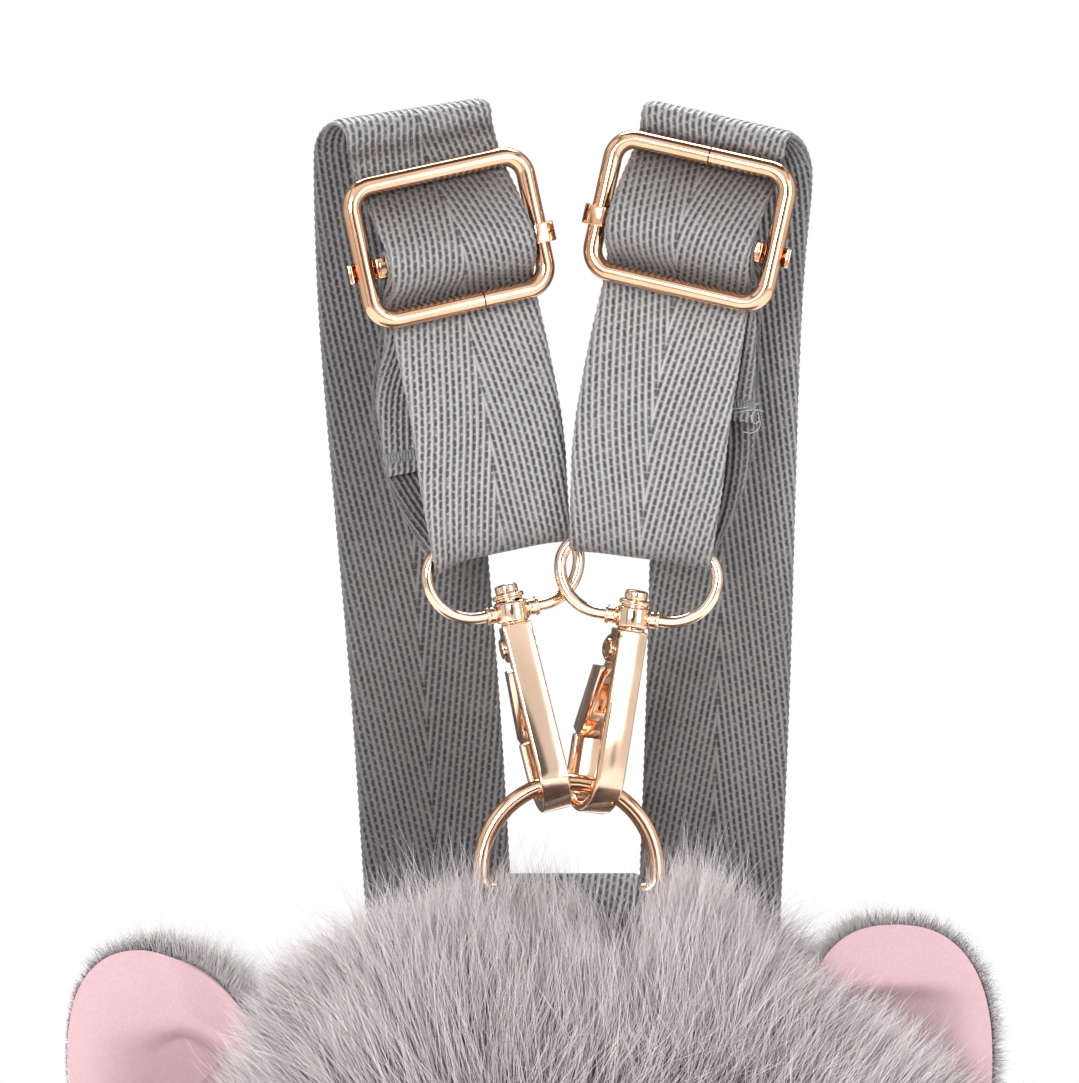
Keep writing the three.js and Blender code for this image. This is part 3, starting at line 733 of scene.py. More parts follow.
for side, strap in STRAPS.items():
    parts = [hook_bar("bar")]
    parts.append(block("bridge", (5.2, 4.4, 1.7), (0, 0.35, -3.15)))
    for x in (-CHEEK_X, CHEEK_X):
        parts.append(block("cheek", (1.3, 3.4, 5.2), (x, 0.9, -5.7)))
        parts.append(turned_part("cheek_end", 2.5, 1.3, (x, *PIVOT), lying=True, rim=0.3))
        parts.append(eyelet("pin_head", 1.75, 0.9, (x * PIN_END, *PIVOT)))
    parts.append(turned_part("post", 1.1, 6.0, (0, 0, 0)))
    for z in (-2.05, 2.05):
        parts.append(turned_part("spacer", 2.35, 0.4, (0, 0, z), rim=0.12))
    parts.append(turned_part("washer", 2.75, 0.75, (0, 0, 2.65), rim=0.2))
    parts.append(turned_part("rivet", 2.1, 1.7, (0, 0, 3.85), rim=0.45, sides=9))
    hook = settled(joined(f"swivel_hook_{side}", parts), hook_place(strap))
    dressed(smooth(hook, 40), ROSE_GOLD, "rose_gold", f"hook_body_{side}")

# %% [markdown]
# The lever's shape is right in the frame, so we copy its node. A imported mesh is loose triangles: the
# copy is merged and its flat faces dissolved before a bevel can round the edges.

# %% Levers
def rounded_copy(name, source, width):
    piece = linked(name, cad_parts[source].data.copy())
    piece.data.name = name
    editing(piece)
    bpy.ops.mesh.select_all(action="SELECT")
    bpy.ops.mesh.remove_doubles(threshold=2 * TINY)
    bpy.ops.mesh.dissolve_limited(angle_limit=math.radians(3))
    done()
    bevelled(piece, width, 2)
    return smooth(piece, 40)


for side in STRAPS:
    lever = rounded_copy(f"sprung_lever_{side}", f"hook_lever_{side}", 0.25)
    dressed(lever, ROSE_GOLD, "rose_gold", f"hook_lever_{side}", body=f"lever_{side}")

# %% [markdown]
# ## Herringbone webbing
# The straps are polyester webbing in a herringbone twill. Fine ribs lie at 8.5 degrees to the strap and
# change hands along its middle, and in the furrow between two ribs the weft shows as short dark dashes.
# Along both edges runs a thin pale selvage without dashes.
# The side that lies inwards gets painted shade, seen on the rear legs, and a value on the mesh called
# inner_side tells where. Another value paints shade into the yarn at the slider's bars, at the loop, below
# the fold and on the sewn end.
# The pattern follows the strap round every bend, so it reads the strap's own UV map: U is the distance
# from the middle and V the distance along the strap, both in millimetres.

# %% Webbing material
RIB = {"pitch": 1.1, "slope": math.tan(math.radians(8.5)), "dash": 1.48, "dash_shift": 0.37}
SELVAGE = {"from": 11.95, "rise": 1.8, "colour": (0.33, 0.32, 0.32, 1)}
YARN = [(0.0, (0.36, 0.35, 0.35)), (0.35, (0.22, 0.213, 0.213)), (0.95, (0.05, 0.047, 0.048))]
# colour of the painted shade on the yarn at its darkest
PAINTED_SHADE_YARN = (0.2, 0.15, 0.14)


def wave(tree, phase):
    return computed(tree, "COSINE", computed(tree, "MULTIPLY", phase, 2 * math.pi))


def webbing(name, direction, inner_shade):
    material, tree = fresh(name)
    weave = node(tree, "ShaderNodeUVMap", uv_map="weave").outputs[0]
    across, along = node(tree, "ShaderNodeSeparateXYZ", weave).outputs[:2]
    across = computed(tree, "ABSOLUTE", across)
    shifted = computed(tree, "MULTIPLY_ADD", along, direction * RIB["slope"], across)
    phase = computed(tree, "DIVIDE", shifted, RIB["pitch"])
    rib = computed(tree, "MULTIPLY_ADD", wave(tree, phase), 0.5, 0.5)
    furrow = computed(tree, "FLOOR", phase)
    dashes = computed(tree, "DIVIDE", along, RIB["dash"])
    brick = computed(tree, "MULTIPLY_ADD", furrow, RIB["dash_shift"], dashes)
    dash = computed(tree, "MULTIPLY_ADD", wave(tree, brick), 1.4, 1.45, clamp=True)
    deep = computed(tree, "POWER", computed(tree, "SUBTRACT", 1.0, rib), 2.4)
    even = computed(tree, "MULTIPLY", deep, computed(tree, "MULTIPLY_ADD", dash, 0.75, 0.25))
    uneven = computed(tree, "MULTIPLY_ADD", noise(tree, 600, 1), 1.7, 0.2)
    dark = computed(tree, "MULTIPLY", even, uneven)
    offset = -SELVAGE["rise"] * SELVAGE["from"]
    selvage = computed(tree, "MULTIPLY_ADD", across, SELVAGE["rise"], offset, clamp=True)
    colour = times(
        tree,
        mixed(tree, selvage, ramp(tree, dark, YARN), SELVAGE["colour"]),
        two_tone(tree, noise(tree, 60, 3), (0.88, 0.88, 0.88), WHITE),
        two_tone(tree, noise(tree, 2200, 2), (0.82, 0.82, 0.82), WHITE),
        # painted shade on the inner side of the strap
        tinted(tree, attribute(tree, "inner_side"), inner_shade),
        # painted shade along the strap: at the slider's bars, the loop, below the fold and on the sewn end
        tinted(tree, attribute(tree, "painted_shade"), PAINTED_SHADE_YARN),
    )
    relief = computed(tree, "MULTIPLY_ADD", dark, -0.8, rib)
    look = {
        "Base Color": colour,
        "Roughness": 0.42,
        "Sheen Weight": 0.12,
        "Sheen Roughness": 0.4,
        "Normal": bump(tree, relief, 0.8, 0.0003),
    }
    return surface(material, look)


WEBBING = {
    # how dark the painted shade on each strap's inner side is
    "left": webbing("webbing_left", 1, (0.49, 0.478, 0.478)),
    "right": webbing("webbing_right", -1, (0.64, 0.625, 0.625)),
}
print("made", [material.name for material in WEBBING.values()])

# %% [markdown]
# ## Straps
# A strap is a flat band, so it is modelled directly: we follow the same rows as the part's source, from
# the sewn end behind the slider, round the slide bar, down to the hook loop, up the front, over the fold
# and down the back. A smooth curve runs through those rows, and at every half dash of the weave the band's
# cross section is placed. The ribs are left to the material, and the edges are finely toothed, as real
# ones are.

# %% The strap's way
TAIL_ROWS = [
    # at, down, out, aside
    ("loop", -28, -2.8, 3.2),
    ("slider", 15.5, -5.9, 2.0),
    ("slider", 11.6, -4.9, 1.4),
    ("slider", 7.6, -3.4, 1.0),
    ("slider", 5.3, 0.1, 0.8),
    ("slider", 3.7, 1.65, 0.6),
    ("slider", 2.5, 1.75, 0.6),
    ("slider", 0.8, 1.4, 0.6),
    ("slider", 0.2, 0, 0.6),
    ("slider", 0.8, -1.4, 0.6),
    ("slider", 2.6, -1.75, 0.6),
    ("slider", 4.6, -2.2, 0.8),
    ("slider", 6.0, -4.9, 1.0),
    ("slider", 10.6, -6.8, 1.4),
    ("slider", 14.5, -7.9, 2.0),
    ("loop", -28, -4.8, 3.4),
    ("loop", -18, -5.8, 3.8),
    ("loop", -8, -4.4, 2.4),
]
FRONT_ROWS = [
    # at, down, out
    ("loop", -8, 2.2),
    ("loop", -20, 2.3),
    ("slider", 16, -3.4),
    ("slider", 12.2, -3.1),
    ("slider", 8.6, -1.65),
    ("slider", 6.5, 1.7),
    ("slider", 4.5, 3.35),
    ("slider", 2.6, 3.65),
    ("slider", 0.3, 3.2),
    ("slider", -2.8, 1.8),
    ("slider", -5.8, 0.2),
    ("slider", -8.6, -1.65),
    ("slider", -12.2, -3.1),
]
BAND = {"width": 25, "thickness": 1.4}


def station(place, x, y, z):
    point = place @ Vector((x * MM, y * MM, z * MM))
    across = place.to_3x3() @ Vector((1, 0, 0))
    return np.array(point) / MM, np.array(across)


def strap_stations(strap):
    places = {"slider": place_of(*strap["slider"]), "loop": place_of(*strap["loop"])}

    def at_row(row):
        at, down, out, *aside = row
        if at == "slider":
            shift = strap["slide"] * min(1, 1 + down / 12)
        else:
            shift = 0 if aside else strap["slide"] * -down / 12
        return station(places[at], shift + strap["outside"] * sum(aside), -out, -down)

    wrap_radius = LOOP["wire"] / 2 + WIRE_GAP + BAND["thickness"] / 2
    turns = [math.radians(-30 * step) for step in range(7)]
    wrap = [
        station(places["loop"], 0, wrap_radius * math.cos(a), wrap_radius * math.sin(a)) for a in turns
    ]
    front = [at_row(row) for row in FRONT_ROWS]
    front.append(at_row(("slider", strap["fold_start"], -2.6)))
    back = [station(place_of(*row), 0, 0, 0) for row in strap["rear"]]
    start, first, second = front[-1][0], back[0][0], back[1][0]
    reach = np.linalg.norm(first - start) * 2 / 3
    fall = (second - first) / np.linalg.norm(second - first)
    pulls = [start, start + np.array([0, 0, reach]), first - fall * reach, first]
    fold = []
    for step in range(1, 10):
        t = step / 10
        weights = [(1 - t) ** 3, 3 * t * (1 - t) ** 2, 3 * t**2 * (1 - t), t**3]
        point = sum(weight * pull for weight, pull in zip(weights, pulls))
        fold.append((point, (1 - t) * front[-1][1] + t * back[0][1]))
    tail = [at_row(("loop", strap["tail_end"], -3.6, 3.8))] + [at_row(row) for row in TAIL_ROWS]
    return tail + wrap + front + fold + back


def lengths_along(points):
    steps = np.linalg.norm(np.diff(points, axis=0), axis=1)
    return np.concatenate([[0], np.cumsum(steps)])


def read_at(stops, lengths, rows):
    """Rows that belong to lengths along a line, read at other stops along it."""
    return np.stack([np.interp(stops, lengths, column) for column in rows.T], axis=-1)


def smooth_way(stations, step):
    """Points at every step along a curve through the stations, with the direction across there."""
    points = np.array([point for point, across in stations])
    acrosses = np.array([across for point, across in stations])
    moves = np.diff(points, axis=0)
    knots = np.concatenate([[0], np.cumsum(np.sqrt(np.linalg.norm(moves, axis=1)))])
    spans = np.diff(knots)[:, None]
    rates = moves / spans
    inner = (rates[1:] * spans[:-1] + rates[:-1] * spans[1:]) / (spans[1:] + spans[:-1])
    slopes = np.concatenate([rates[:1], inner, rates[-1:]])
    fine = np.linspace(0, knots[-1], 6000)
    at = np.clip(np.searchsorted(knots, fine, side="right") - 1, 0, len(knots) - 2)
    span = spans[at]
    t = (fine - knots[at])[:, None] / span
    curve = (
        (2 * t**3 - 3 * t**2 + 1) * points[at]
        + (t**3 - 2 * t**2 + t) * span * slopes[at]
        + (-2 * t**3 + 3 * t**2) * points[at + 1]
        + (t**3 - t**2) * span * slopes[at + 1]
    )
    sides = (1 - t) * acrosses[at] + t * acrosses[at + 1]
    lengths = lengths_along(curve)
    stops = np.linspace(0, lengths[-1], int(lengths[-1] / step) + 1)
    return read_at(stops, lengths, curve), read_at(stops, lengths, sides), stops


print("left strap has", len(strap_stations(STRAPS["left"])), "rows")

# %% Meshes from arrays
def mesh_piece(name, points, faces):
    """A piece of points in millimetres, and of faces that list their corners."""
    mesh = bpy.data.meshes.new(name)
    mesh.from_pydata((points.reshape(-1, 3) * MM).tolist(), [], faces)
    mesh.update()
    return linked(name, mesh)


def written(piece, key, values):
    """Keeps a number for each point of a piece."""
    layer = piece.data.attributes.new(key, "FLOAT", "POINT")
    layer.data.foreach_set("value", values.astype(np.float32).ravel())


def weave_map(piece, values):
    layer = piece.data.uv_layers.new(name="weave")
    corners = np.zeros(len(piece.data.loops), dtype=np.int32)
    piece.data.loops.foreach_get("vertex_index", corners)
    layer.data.foreach_set("uv", values[corners].astype(np.float32).ravel())


def tube_faces(rows, columns):
    row, column = np.meshgrid(np.arange(rows - 1), np.arange(columns), indexing="ij")
    here = row * columns + column
    beside = row * columns + (column + 1) % columns
    return np.stack([here, beside, beside + columns, here + columns], axis=-1).reshape(-1, 4)


def repeated(pattern, count, corners):
    """The faces of one small mesh, for as many copies of it, which all have their own corners."""
    faces = np.arange(count)[:, None, None] * corners + np.array(pattern)
    return faces.reshape(-1, faces.shape[-1])


print("mesh helpers are ready")

# %% Straps
# the loop comes before this length of a strap
LOOP_BEFORE = 160
# how far the strap's two edges hang where it lies in the rounded corners of its loop
DROOP = {"left": (2.0, 0.5), "right": (0.4, 0.8)}
STRAP_WAY = {}


def webbing_band(name, way, across, stops, droop=None, painted_shade=0, widths=25, inward=1, columns=22):
    side = unit(across)
    out = unit(np.cross(unit(np.gradient(way, axis=0)), side))
    half_width = BAND["width"] / 2
    offsets = np.linspace(-half_width, half_width, columns)
    edge = np.clip((half_width - np.abs(offsets)) / 0.7, 0.35, 1)
    tooth = 0.16 * (-1.0) ** np.arange(len(stops))
    wide = offsets * (widths + tooth)[:, None] / BAND["width"]
    middle = way[:, None] + side[:, None] * wide[..., None]
    if droop is not None:
        middle += droop(offsets, stops)
    half = out[:, None] * (BAND["thickness"] / 2 * edge)[:, None]
    ring = np.concatenate([middle + half, (middle - half)[:, ::-1]], axis=1)
    rows, count = ring.shape[:2]
    caps = [list(range(count))[::-1], list(range((rows - 1) * count, rows * count))]
    piece = mesh_piece(name, ring, tube_faces(rows, count).tolist() + caps)
    # painted shade along the strap, one value for each row
    written(piece, "painted_shade", np.outer(painted_shade * np.ones(rows), np.ones(count)))
    # painted shade on the inner side, lighter where the rear catches light
    written(piece, "inner_side", np.outer(inward * np.ones(rows), np.repeat([1.0, 0.0], columns)))
    u = np.concatenate([offsets, offsets[::-1]])
    weave_map(piece, np.stack([np.tile(u, rows), np.repeat(stops, count)], axis=1))
    return smooth(faced_out(piece), 70)


def turns_of(way, stops):
    """How far along it a strap turns: lowest at its loop, and highest in its fold."""
    lowest = np.argmin(np.where(stops < LOOP_BEFORE, way[:, 2], np.inf))
    return stops[lowest], stops[np.argmax(way[:, 2])]


def loop_droop(side, loop_stop):
    down = np.array(place_of(*STRAPS[side]["loop"]).to_3x3() @ Vector((0, 0, -1)))

    def droop(offsets, stops):
        fade = np.exp(-(((stops - loop_stop) / 7) ** 2))
        bend = rising(np.abs(offsets), 5.5, 7) ** 2
        depth = np.where(offsets < 0, *DROOP[side]) * bend
        return fade[:, None, None] * depth[:, None] * down

    return droop


def painted_shade_rows(strap, way, stops):
    """The shade painted into each row of the strap: at the slider's bars, in the folds and on the sewn end.
    """
    local = np.array(place_of(*strap["slider"]).inverted())
    height = (way * MM) @ local[2, :3] / MM + local[2, 3] / MM
    above = height - SLIDER["top"]
    below = height - SLIDER["bottom"]
    bars = 0.98 * np.exp(-((np.maximum(-1.5 - above, 0) / 6.2) ** 1.3)) * (above < 0)
    bars += 0.5 * np.exp(-np.maximum(above - 1.5, 0) / 1.4) * (above >= 0)
    bars += 0.85 * np.exp(-((np.maximum(below - 1.5, 0) / 3.2) ** 1.3)) * (below >= 0)
    bars += 0.5 * np.exp(-np.maximum(-1.5 - below, 0) / 1.8) * (below < 0)
    loop_stop, fold_stop = turns_of(way, stops)
    fold = 0.55 * np.exp(-np.abs(stops - loop_stop) / 4)
    shade_below_crest = 0.7 * np.exp(-(((stops - fold_stop + 6.3) / 2.2) ** 2))
    front = (stops > loop_stop) & (stops < fold_stop)
    sewn_end = 0.35 * (stops < loop_stop - 6)
    return np.clip(np.where(front, bars + shade_below_crest, sewn_end) + fold, 0, 1)


def strap_widths(strap, way, stops):
    """Webbing is drawn in where it passes its loop, and spreads a little where it lies free."""
    loop_stop, fold_stop = turns_of(way, stops)
    places = [loop_stop + 2, loop_stop + 16, loop_stop + 36, loop_stop + 50, fold_stop, fold_stop + 25]
    return np.interp(stops, places, [25, 26.8, 26.8, 26.2, 26.2, strap["rear_width"]])


def inward_rows(strap, way, stops):
    """How much shade is painted on the inner side: less in the first stretch behind the fold, where it
    catches light.
    """
    after = stops - turns_of(way, stops)[1]
    return 1 - strap["pale_rear"] * eased(rising(after, 4, 10)) * eased(falling(after, 95, 30))


for side, strap in STRAPS.items():
    way, across, stops = smooth_way(strap_stations(strap), RIB["dash"] / 2)
    STRAP_WAY[side] = (way, across, stops)
    shape = (loop_droop(side, turns_of(way, stops)[0]), painted_shade_rows(strap, way, stops))
    shape += (strap_widths(strap, way, stops), inward_rows(strap, way, stops))
    band = webbing_band(f"webbing_strap_{side}", way, across, stops, *shape)
    dressed(band, WEBBING[side], "webbing", f"strap_{side}")
    print(band.name, round(stops[-1]), "mm long")

# %% Tab that holds the ring
TAB_FOOT = 18
tab_radius = RING["wire"] / 2 + WIRE_GAP + BAND["thickness"] / 2
tab_rows = [(-tab_radius - 0.6, -TAB_FOOT), (-tab_radius - 0.3, -TAB_FOOT / 2)]
for turn in range(0, 181, 15):
    angle = math.radians(180 - turn)
    tab_rows.append((tab_radius * math.cos(angle), tab_radius * math.sin(angle)))
tab_rows += [(tab_radius + 0.3, -TAB_FOOT / 2), (tab_radius + 0.6, -TAB_FOOT)]
tab_place = Matrix.Translation(Vector((0, RING_Y, RING["bottom"])) * MM)
tab_way = smooth_way([station(tab_place, 0, y, z) for y, z in tab_rows], RIB["dash"] / 2)
dressed(webbing_band("ring_tab", *tab_way), WEBBING["right"], "webbing", "top_tab")

# %% [markdown]
# ## The plush head
# The head is a pouch of plush cloth. Its outline is a superellipse, an oval with a little squareness,
# and it is deepest in front and nearly flat behind. The skin below is that form at a fine resolution. It
# serves twice: as the cloth that carries the pile, and as the ground on which every hair is planted.

# %% The head's form
HEAD = {"half_width": 78, "half_height": 83, "centre_z": -223, "front_y": -52, "seam_y": 8.2}
HEAD_BACK = {"y": 45, "scale": 0.88}
SQUARENESS = 2.3


def signed_power(value, power):
    return np.sign(value) * np.abs(value) ** power


def head_ring(y, scale, grow, angles):
    power = 2 / SQUARENESS
    x = scale * (HEAD["half_width"] + grow) * signed_power(np.cos(angles), power)
    z = scale * (HEAD["half_height"] + grow) * signed_power(np.sin(angles), power)
    return np.stack([x, np.full_like(x, y), z + HEAD["centre_z"]], axis=1)


def head_rows(grow, side_rows, face_rows, count):
    angles = (np.arange(count) + 0.5) / count * 2 * np.pi
    depth = HEAD["seam_y"] - HEAD["front_y"] + grow
    rows = []
    for y in np.linspace(HEAD_BACK["y"] - 0.5, HEAD["seam_y"], side_rows, endpoint=False):
        share = (y - HEAD["seam_y"]) / (HEAD_BACK["y"] - HEAD["seam_y"])
        rows.append(head_ring(y, 1 - (1 - HEAD_BACK["scale"]) * share**2, grow, angles))
    for turn in np.radians(np.linspace(0, 88, face_rows)):
        y = HEAD["seam_y"] - depth * math.sin(turn) ** (2 / SQUARENESS)
        rows.append(head_ring(y, math.cos(turn) ** (2 / SQUARENESS), grow, angles))
    return np.array(rows)


def head_normal(points):
    power = SQUARENESS - 1
    depth = HEAD["seam_y"] - HEAD["front_y"]
    forward = np.minimum((points[:, 1] - HEAD["seam_y"]) / depth, 0)
    raised = points[:, 2] - HEAD["centre_z"]
    normal = np.stack(
        [
            signed_power(points[:, 0] / HEAD["half_width"], power) / HEAD["half_width"],
            signed_power(forward, power) / depth,
            signed_power(raised / HEAD["half_height"], power) / HEAD["half_height"],
        ],
        axis=1,
    )
    return unit(normal)


def head_skin(name, grow, wall):
    rows = head_rows(grow, 10, 26, 96)
    count = rows.shape[1]
    cap = list(range((len(rows) - 1) * count, len(rows) * count))
    piece = faced_out(mesh_piece(name, rows, tube_faces(len(rows), count).tolist() + [cap]))
    thickened(piece, wall, -1)
    return smooth(piece, 60)


print("head form is ready")

# %% Cloth under the fur and inside the pouch
def plush_cloth(name, dark, light, scale=2600):
    material, tree = fresh(name)
    nap = noise(tree, scale, 2)
    look = {
        "Base Color": two_tone(tree, nap, dark, light),
        "Roughness": 0.95,
        "Sheen Weight": 0.4,
        "Normal": bump(tree, nap, 0.6, 0.0003),
    }
    return surface(material, look)


# the backing under the fur is dark: painted shade deep under the pile
BACKING = plush_cloth("pile_backing", (0.1, 0.085, 0.095), (0.2, 0.175, 0.19))
LINING = plush_cloth("pouch_lining", (0.3, 0.28, 0.29), (0.4, 0.375, 0.39), 900)
dressed(head_skin("pile_backing", 0, 1.8), BACKING, "fur")
dressed(head_skin("pouch_lining", -2.4, 1.6), LINING, "bag_cloth", "front_panel", "side_panel")

# %% [markdown]
# ## Long fur
# The pile is the look of this bag: fine strands about 20 mm long that lie in soft clumps and stand out
# from the head as a halo. They are pale at the tip and dark at the root, and the dark roots are painted
# shade of the deep pile. A particle system would be quick by hand, but hair curves are no mesh. So each
# strand is a thin three-sided spike, planted on the skin by area, and all spikes of a zone are one mesh.
# Each point keeps two numbers for the material: how far it is along its strand, and the tone of that strand.

# %% Planting
def planted(rows, count, weight, rng):
    """Random points on a skin of rows, more of them where weight is high."""
    a, b = rows[:-1], rows[1:]
    middles = (a + b + np.roll(a, -1, axis=1) + np.roll(b, -1, axis=1)) / 4
    areas = np.linalg.norm(np.cross(np.roll(a, -1, axis=1) - a, b - a), axis=2)
    shares = (areas * weight(middles.reshape(-1, 3)).reshape(areas.shape)).ravel()
    chosen = rng.choice(len(shares), count, p=shares / shares.sum())
    row, column = np.unravel_index(chosen, areas.shape)
    beside = (column + 1) % rows.shape[1]
    s, t = rng.random((2, count, 1))
    return (
        (1 - s) * (1 - t) * rows[row, column]
        + (1 - s) * t * rows[row, beside]
        + s * (1 - t) * rows[row + 1, column]
        + s * t * rows[row + 1, beside]
    )


def evenly(points):
    return np.ones(len(points))


def spikes(name, roots, starts, ends, lengths, widths, tones, rings):
    """Tapered strands that leave their roots along starts and end along ends."""
    count = len(roots)
    steps = np.linspace(0, 1, rings + 1)
    bend = ends - starts
    side = unit(np.cross(starts, bend + 1e-3))
    over = unit(np.cross(side, starts))
    taper = (1 - steps[:-1]) ** 0.6
    points = np.zeros((count, 3 * rings + 1, 3))
    for ring, t in enumerate(steps[:-1]):
        centre = roots + lengths[:, None] * (t * starts + t * t / 2 * bend)
        for corner in range(3):
            angle = 2 * np.pi * corner / 3
            offset = math.cos(angle) * side + math.sin(angle) * over
            points[:, 3 * ring + corner] = centre + offset * (widths * taper[ring] / 2)[:, None]
    points[:, -1] = roots + lengths[:, None] * (starts + bend / 2)
    pattern = [(0, 2, 1)]
    for ring in range(rings - 1):
        for corner in range(3):
            here, beside = 3 * ring + corner, 3 * ring + (corner + 1) % 3
            pattern += [(here, beside, beside + 3), (here, beside + 3, here + 3)]
    last = 3 * (rings - 1)
    pattern += [(last + corner, last + (corner + 1) % 3, 3 * rings) for corner in range(3)]
    piece = spike_mesh(name, points, repeated(pattern, count, 3 * rings + 1))
    along = np.concatenate([np.repeat(steps[:-1], 3), [1.0]])
    written(piece, "along", np.tile(along, count))
    written(piece, "tone", np.repeat(tones, len(along)))
    return piece


def spike_mesh(name, points, faces):
    """A smooth mesh of triangles, set from whole arrays because there are so many of them."""
    mesh = bpy.data.meshes.new(name)
    mesh.vertices.add(points.size // 3)
    mesh.vertices.foreach_set("co", (points * MM).astype(np.float32).ravel())
    mesh.loops.add(faces.size)
    mesh.loops.foreach_set("vertex_index", faces.astype(np.int32).ravel())
    mesh.polygons.add(len(faces))
    mesh.polygons.foreach_set("loop_start", np.arange(0, faces.size, 3, dtype=np.int32))
    mesh.polygons.foreach_set("use_smooth", np.ones(len(faces), dtype=bool))
    mesh.update(calc_edges=True)
    return linked(name, mesh)


print("planting is ready")

# %% Fur material
def fur(name, stops, tint):
    material, tree = fresh(name)
    # dark roots and pale tips; the dark roots are painted shade of the deep pile
    length = ramp(tree, attribute(tree, "along"), stops)
    strand = ramp(tree, attribute(tree, "tone"), tint)
    look = {
        "Base Color": times(tree, length, strand),
        "Roughness": 0.6,
        "Specular IOR Level": 0.3,
        "Sheen Weight": 0.3,
    }
    return surface(material, look)


FUR = fur(
    "long_fur",
    [(0.0, (0.22, 0.182, 0.192)), (0.4, (0.44, 0.37, 0.387)), (1.0, (0.76, 0.67, 0.69))],
    [(0.0, (0.68, 0.67, 0.68)), (0.6, (0.92, 0.91, 0.91)), (1.0, WHITE)],
)
GUARD_HAIR = fur(
    "guard_hair",
    [(0.0, (0.4, 0.34, 0.355)), (0.4, (0.66, 0.585, 0.6)), (1.0, (0.92, 0.86, 0.87))],
    [(0.0, (0.8, 0.79, 0.8)), (1.0, WHITE)],
)
print("made", FUR.name, GUARD_HAIR.name)

# %% [markdown]
# Fur is combed in three steps. Every strand leaves the skin between the normal and the way the pile is
# brushed: outward from the middle of the face, and backward behind the seam. Slow waves turn whole patches
# a little. Then strands gather into locks: each leans its tip towards the tip of the nearest leader.
# Last come the guard hairs, long and thin, that stand loose above the rest.

# %% Where the fur leaves room
# x, y, z and yaw are the ear's place
# oval and lining are the outlines of its back and its lining: shift, half sizes, squareness and slope
# fur_line is where the fur stops: a point, and the side it faces
# bend is how far the lining bends forward to that line
# deep and shade tell how deep the hollow of the ear is, and how much shade is painted on the velour in it
# pile has lengths of the short pile, from the outer side of the ear over its top to the inner side
EARS = {
    "left": {
        "x": -66.5,
        "y": 3,
        "z": -161.5,
        "yaw": 8,
        "oval": (-2, -6, 18, 22.5, 2.3, -0.22),
        "lining": (-2, -6, 18, 21.8, 2.3, -0.32),
        "fur_line": (-53.2, -160, -0.945, -0.328),
        "bend": 9,
        "deep": 2.3,
        "shade": 0.52,
        "pile": (0.5, 3.6, 6.4, 7.6, 8.0),
    },
    "right": {
        "x": 56.5,
        "y": 3,
        "z": -160.5,
        "yaw": -6,
        "oval": (0, -2, 16.4, 22.3, 2.4, 0.0),
        "lining": (0, -2, 16.4, 22.3, 2.4, 0.0),
        "fur_line": (41.5, -148.2, 0.556, 0.832),
        "bend": 2,
        "deep": 3.3,
        "shade": 1.0,
        "pile": (3.0, 3.3, 3.8, 4.6, 5.4),
    },
}
# where the fur parts before the tab, and how far back it may reach
TAB_PARTING = 9
FUR_BACK = 56
# no hair is planted this near to the tab, to an ear's middle and to the straps
TAB_ROOM = {"half": 15, "deep": 6, "low": -160}
EAR_ROOM = 20
STRAP_ROOM = {"half": 14, "front": 36, "low": -190}
# the head's half size, over which the brushing outwards grows
HEAD_REACH = 80
# before this depth the fur grows over the foot of an ear
EAR_FOOT = -16
# below these heights tips, roots and the ear itself no longer mind the fur line
LOW_TIPS = -171
LOW_ROOTS = -169
LOW_EAR = -172
# the middles of the straps where they enter the fur, and where they lie on the back
STRAPS_IN_FUR = (-22.5, 25)
STRAPS_ON_BACK = (-23.2, 25.5)
print("ears at", [(ear["x"], ear["z"]) for ear in EARS.values()])

# %% Combing
def combed(roots, rng, size, loose):
    """Directions at the root and at the tip of each strand, and its length."""
    x, y, z = roots.T
    normal = head_normal(roots)
    radial = np.stack([x, 0 * x, z - HEAD["centre_z"]], axis=1) / HEAD_REACH
    backward = np.stack([0.35 * x / HEAD_REACH, np.ones(len(x)), 0 * x], axis=1)
    face = falling(y, 14, 22)[:, None]
    pull = face * radial + (1 - face) * backward
    sweep = pull - normal * np.sum(pull * normal, axis=1)[:, None]
    sweep = sweep / np.maximum(np.linalg.norm(sweep, axis=1), 0.4)[:, None]
    waves = [np.sin(x / 11 + z / 15 + 0.7), np.sin(y / 9 + x / 17 + 2), np.sin(z / 10 - x / 13 + 4)]
    wave = np.stack(waves, axis=1)
    at_tab = rising(z, -158, 8) * falling(y, 13, 6)
    beside = (x - TAB_PARTING) / 6
    parting = at_tab * np.exp(-(beside**2))
    apart = np.stack([np.sign(beside) * parting, 0 * x, -0.5 * parting], axis=1)
    bend, curl = rng.normal(size=(2, *roots.shape))
    start = unit(0.78 * normal + 0.5 * sweep + 0.12 * wave + loose * 0.6 * bend + 0.35 * apart)
    end = unit(0.5 * normal + 0.78 * sweep + 0.34 * wave + loose * (bend + curl) + 0.6 * apart)
    length = size * (0.72 + 0.5 * rng.random(len(x))) * (1 + 0.1 * np.sin(x / 7 + 1.3 * np.sin(z / 6)))
    aside = np.abs(x)
    length *= 1 - 0.36 * rising(z, -190, 25) * eased(rising(aside, 18, 24))
    before_tab = at_tab * falling(aside, 13, 3)
    behind_tab = rising(z, -165, 8) * rising(y, 10, 4) * falling(aside, 21, 6)
    length *= 1 - 0.25 * before_tab - 0.3 * parting - 0.62 * behind_tab
    return start, end, length


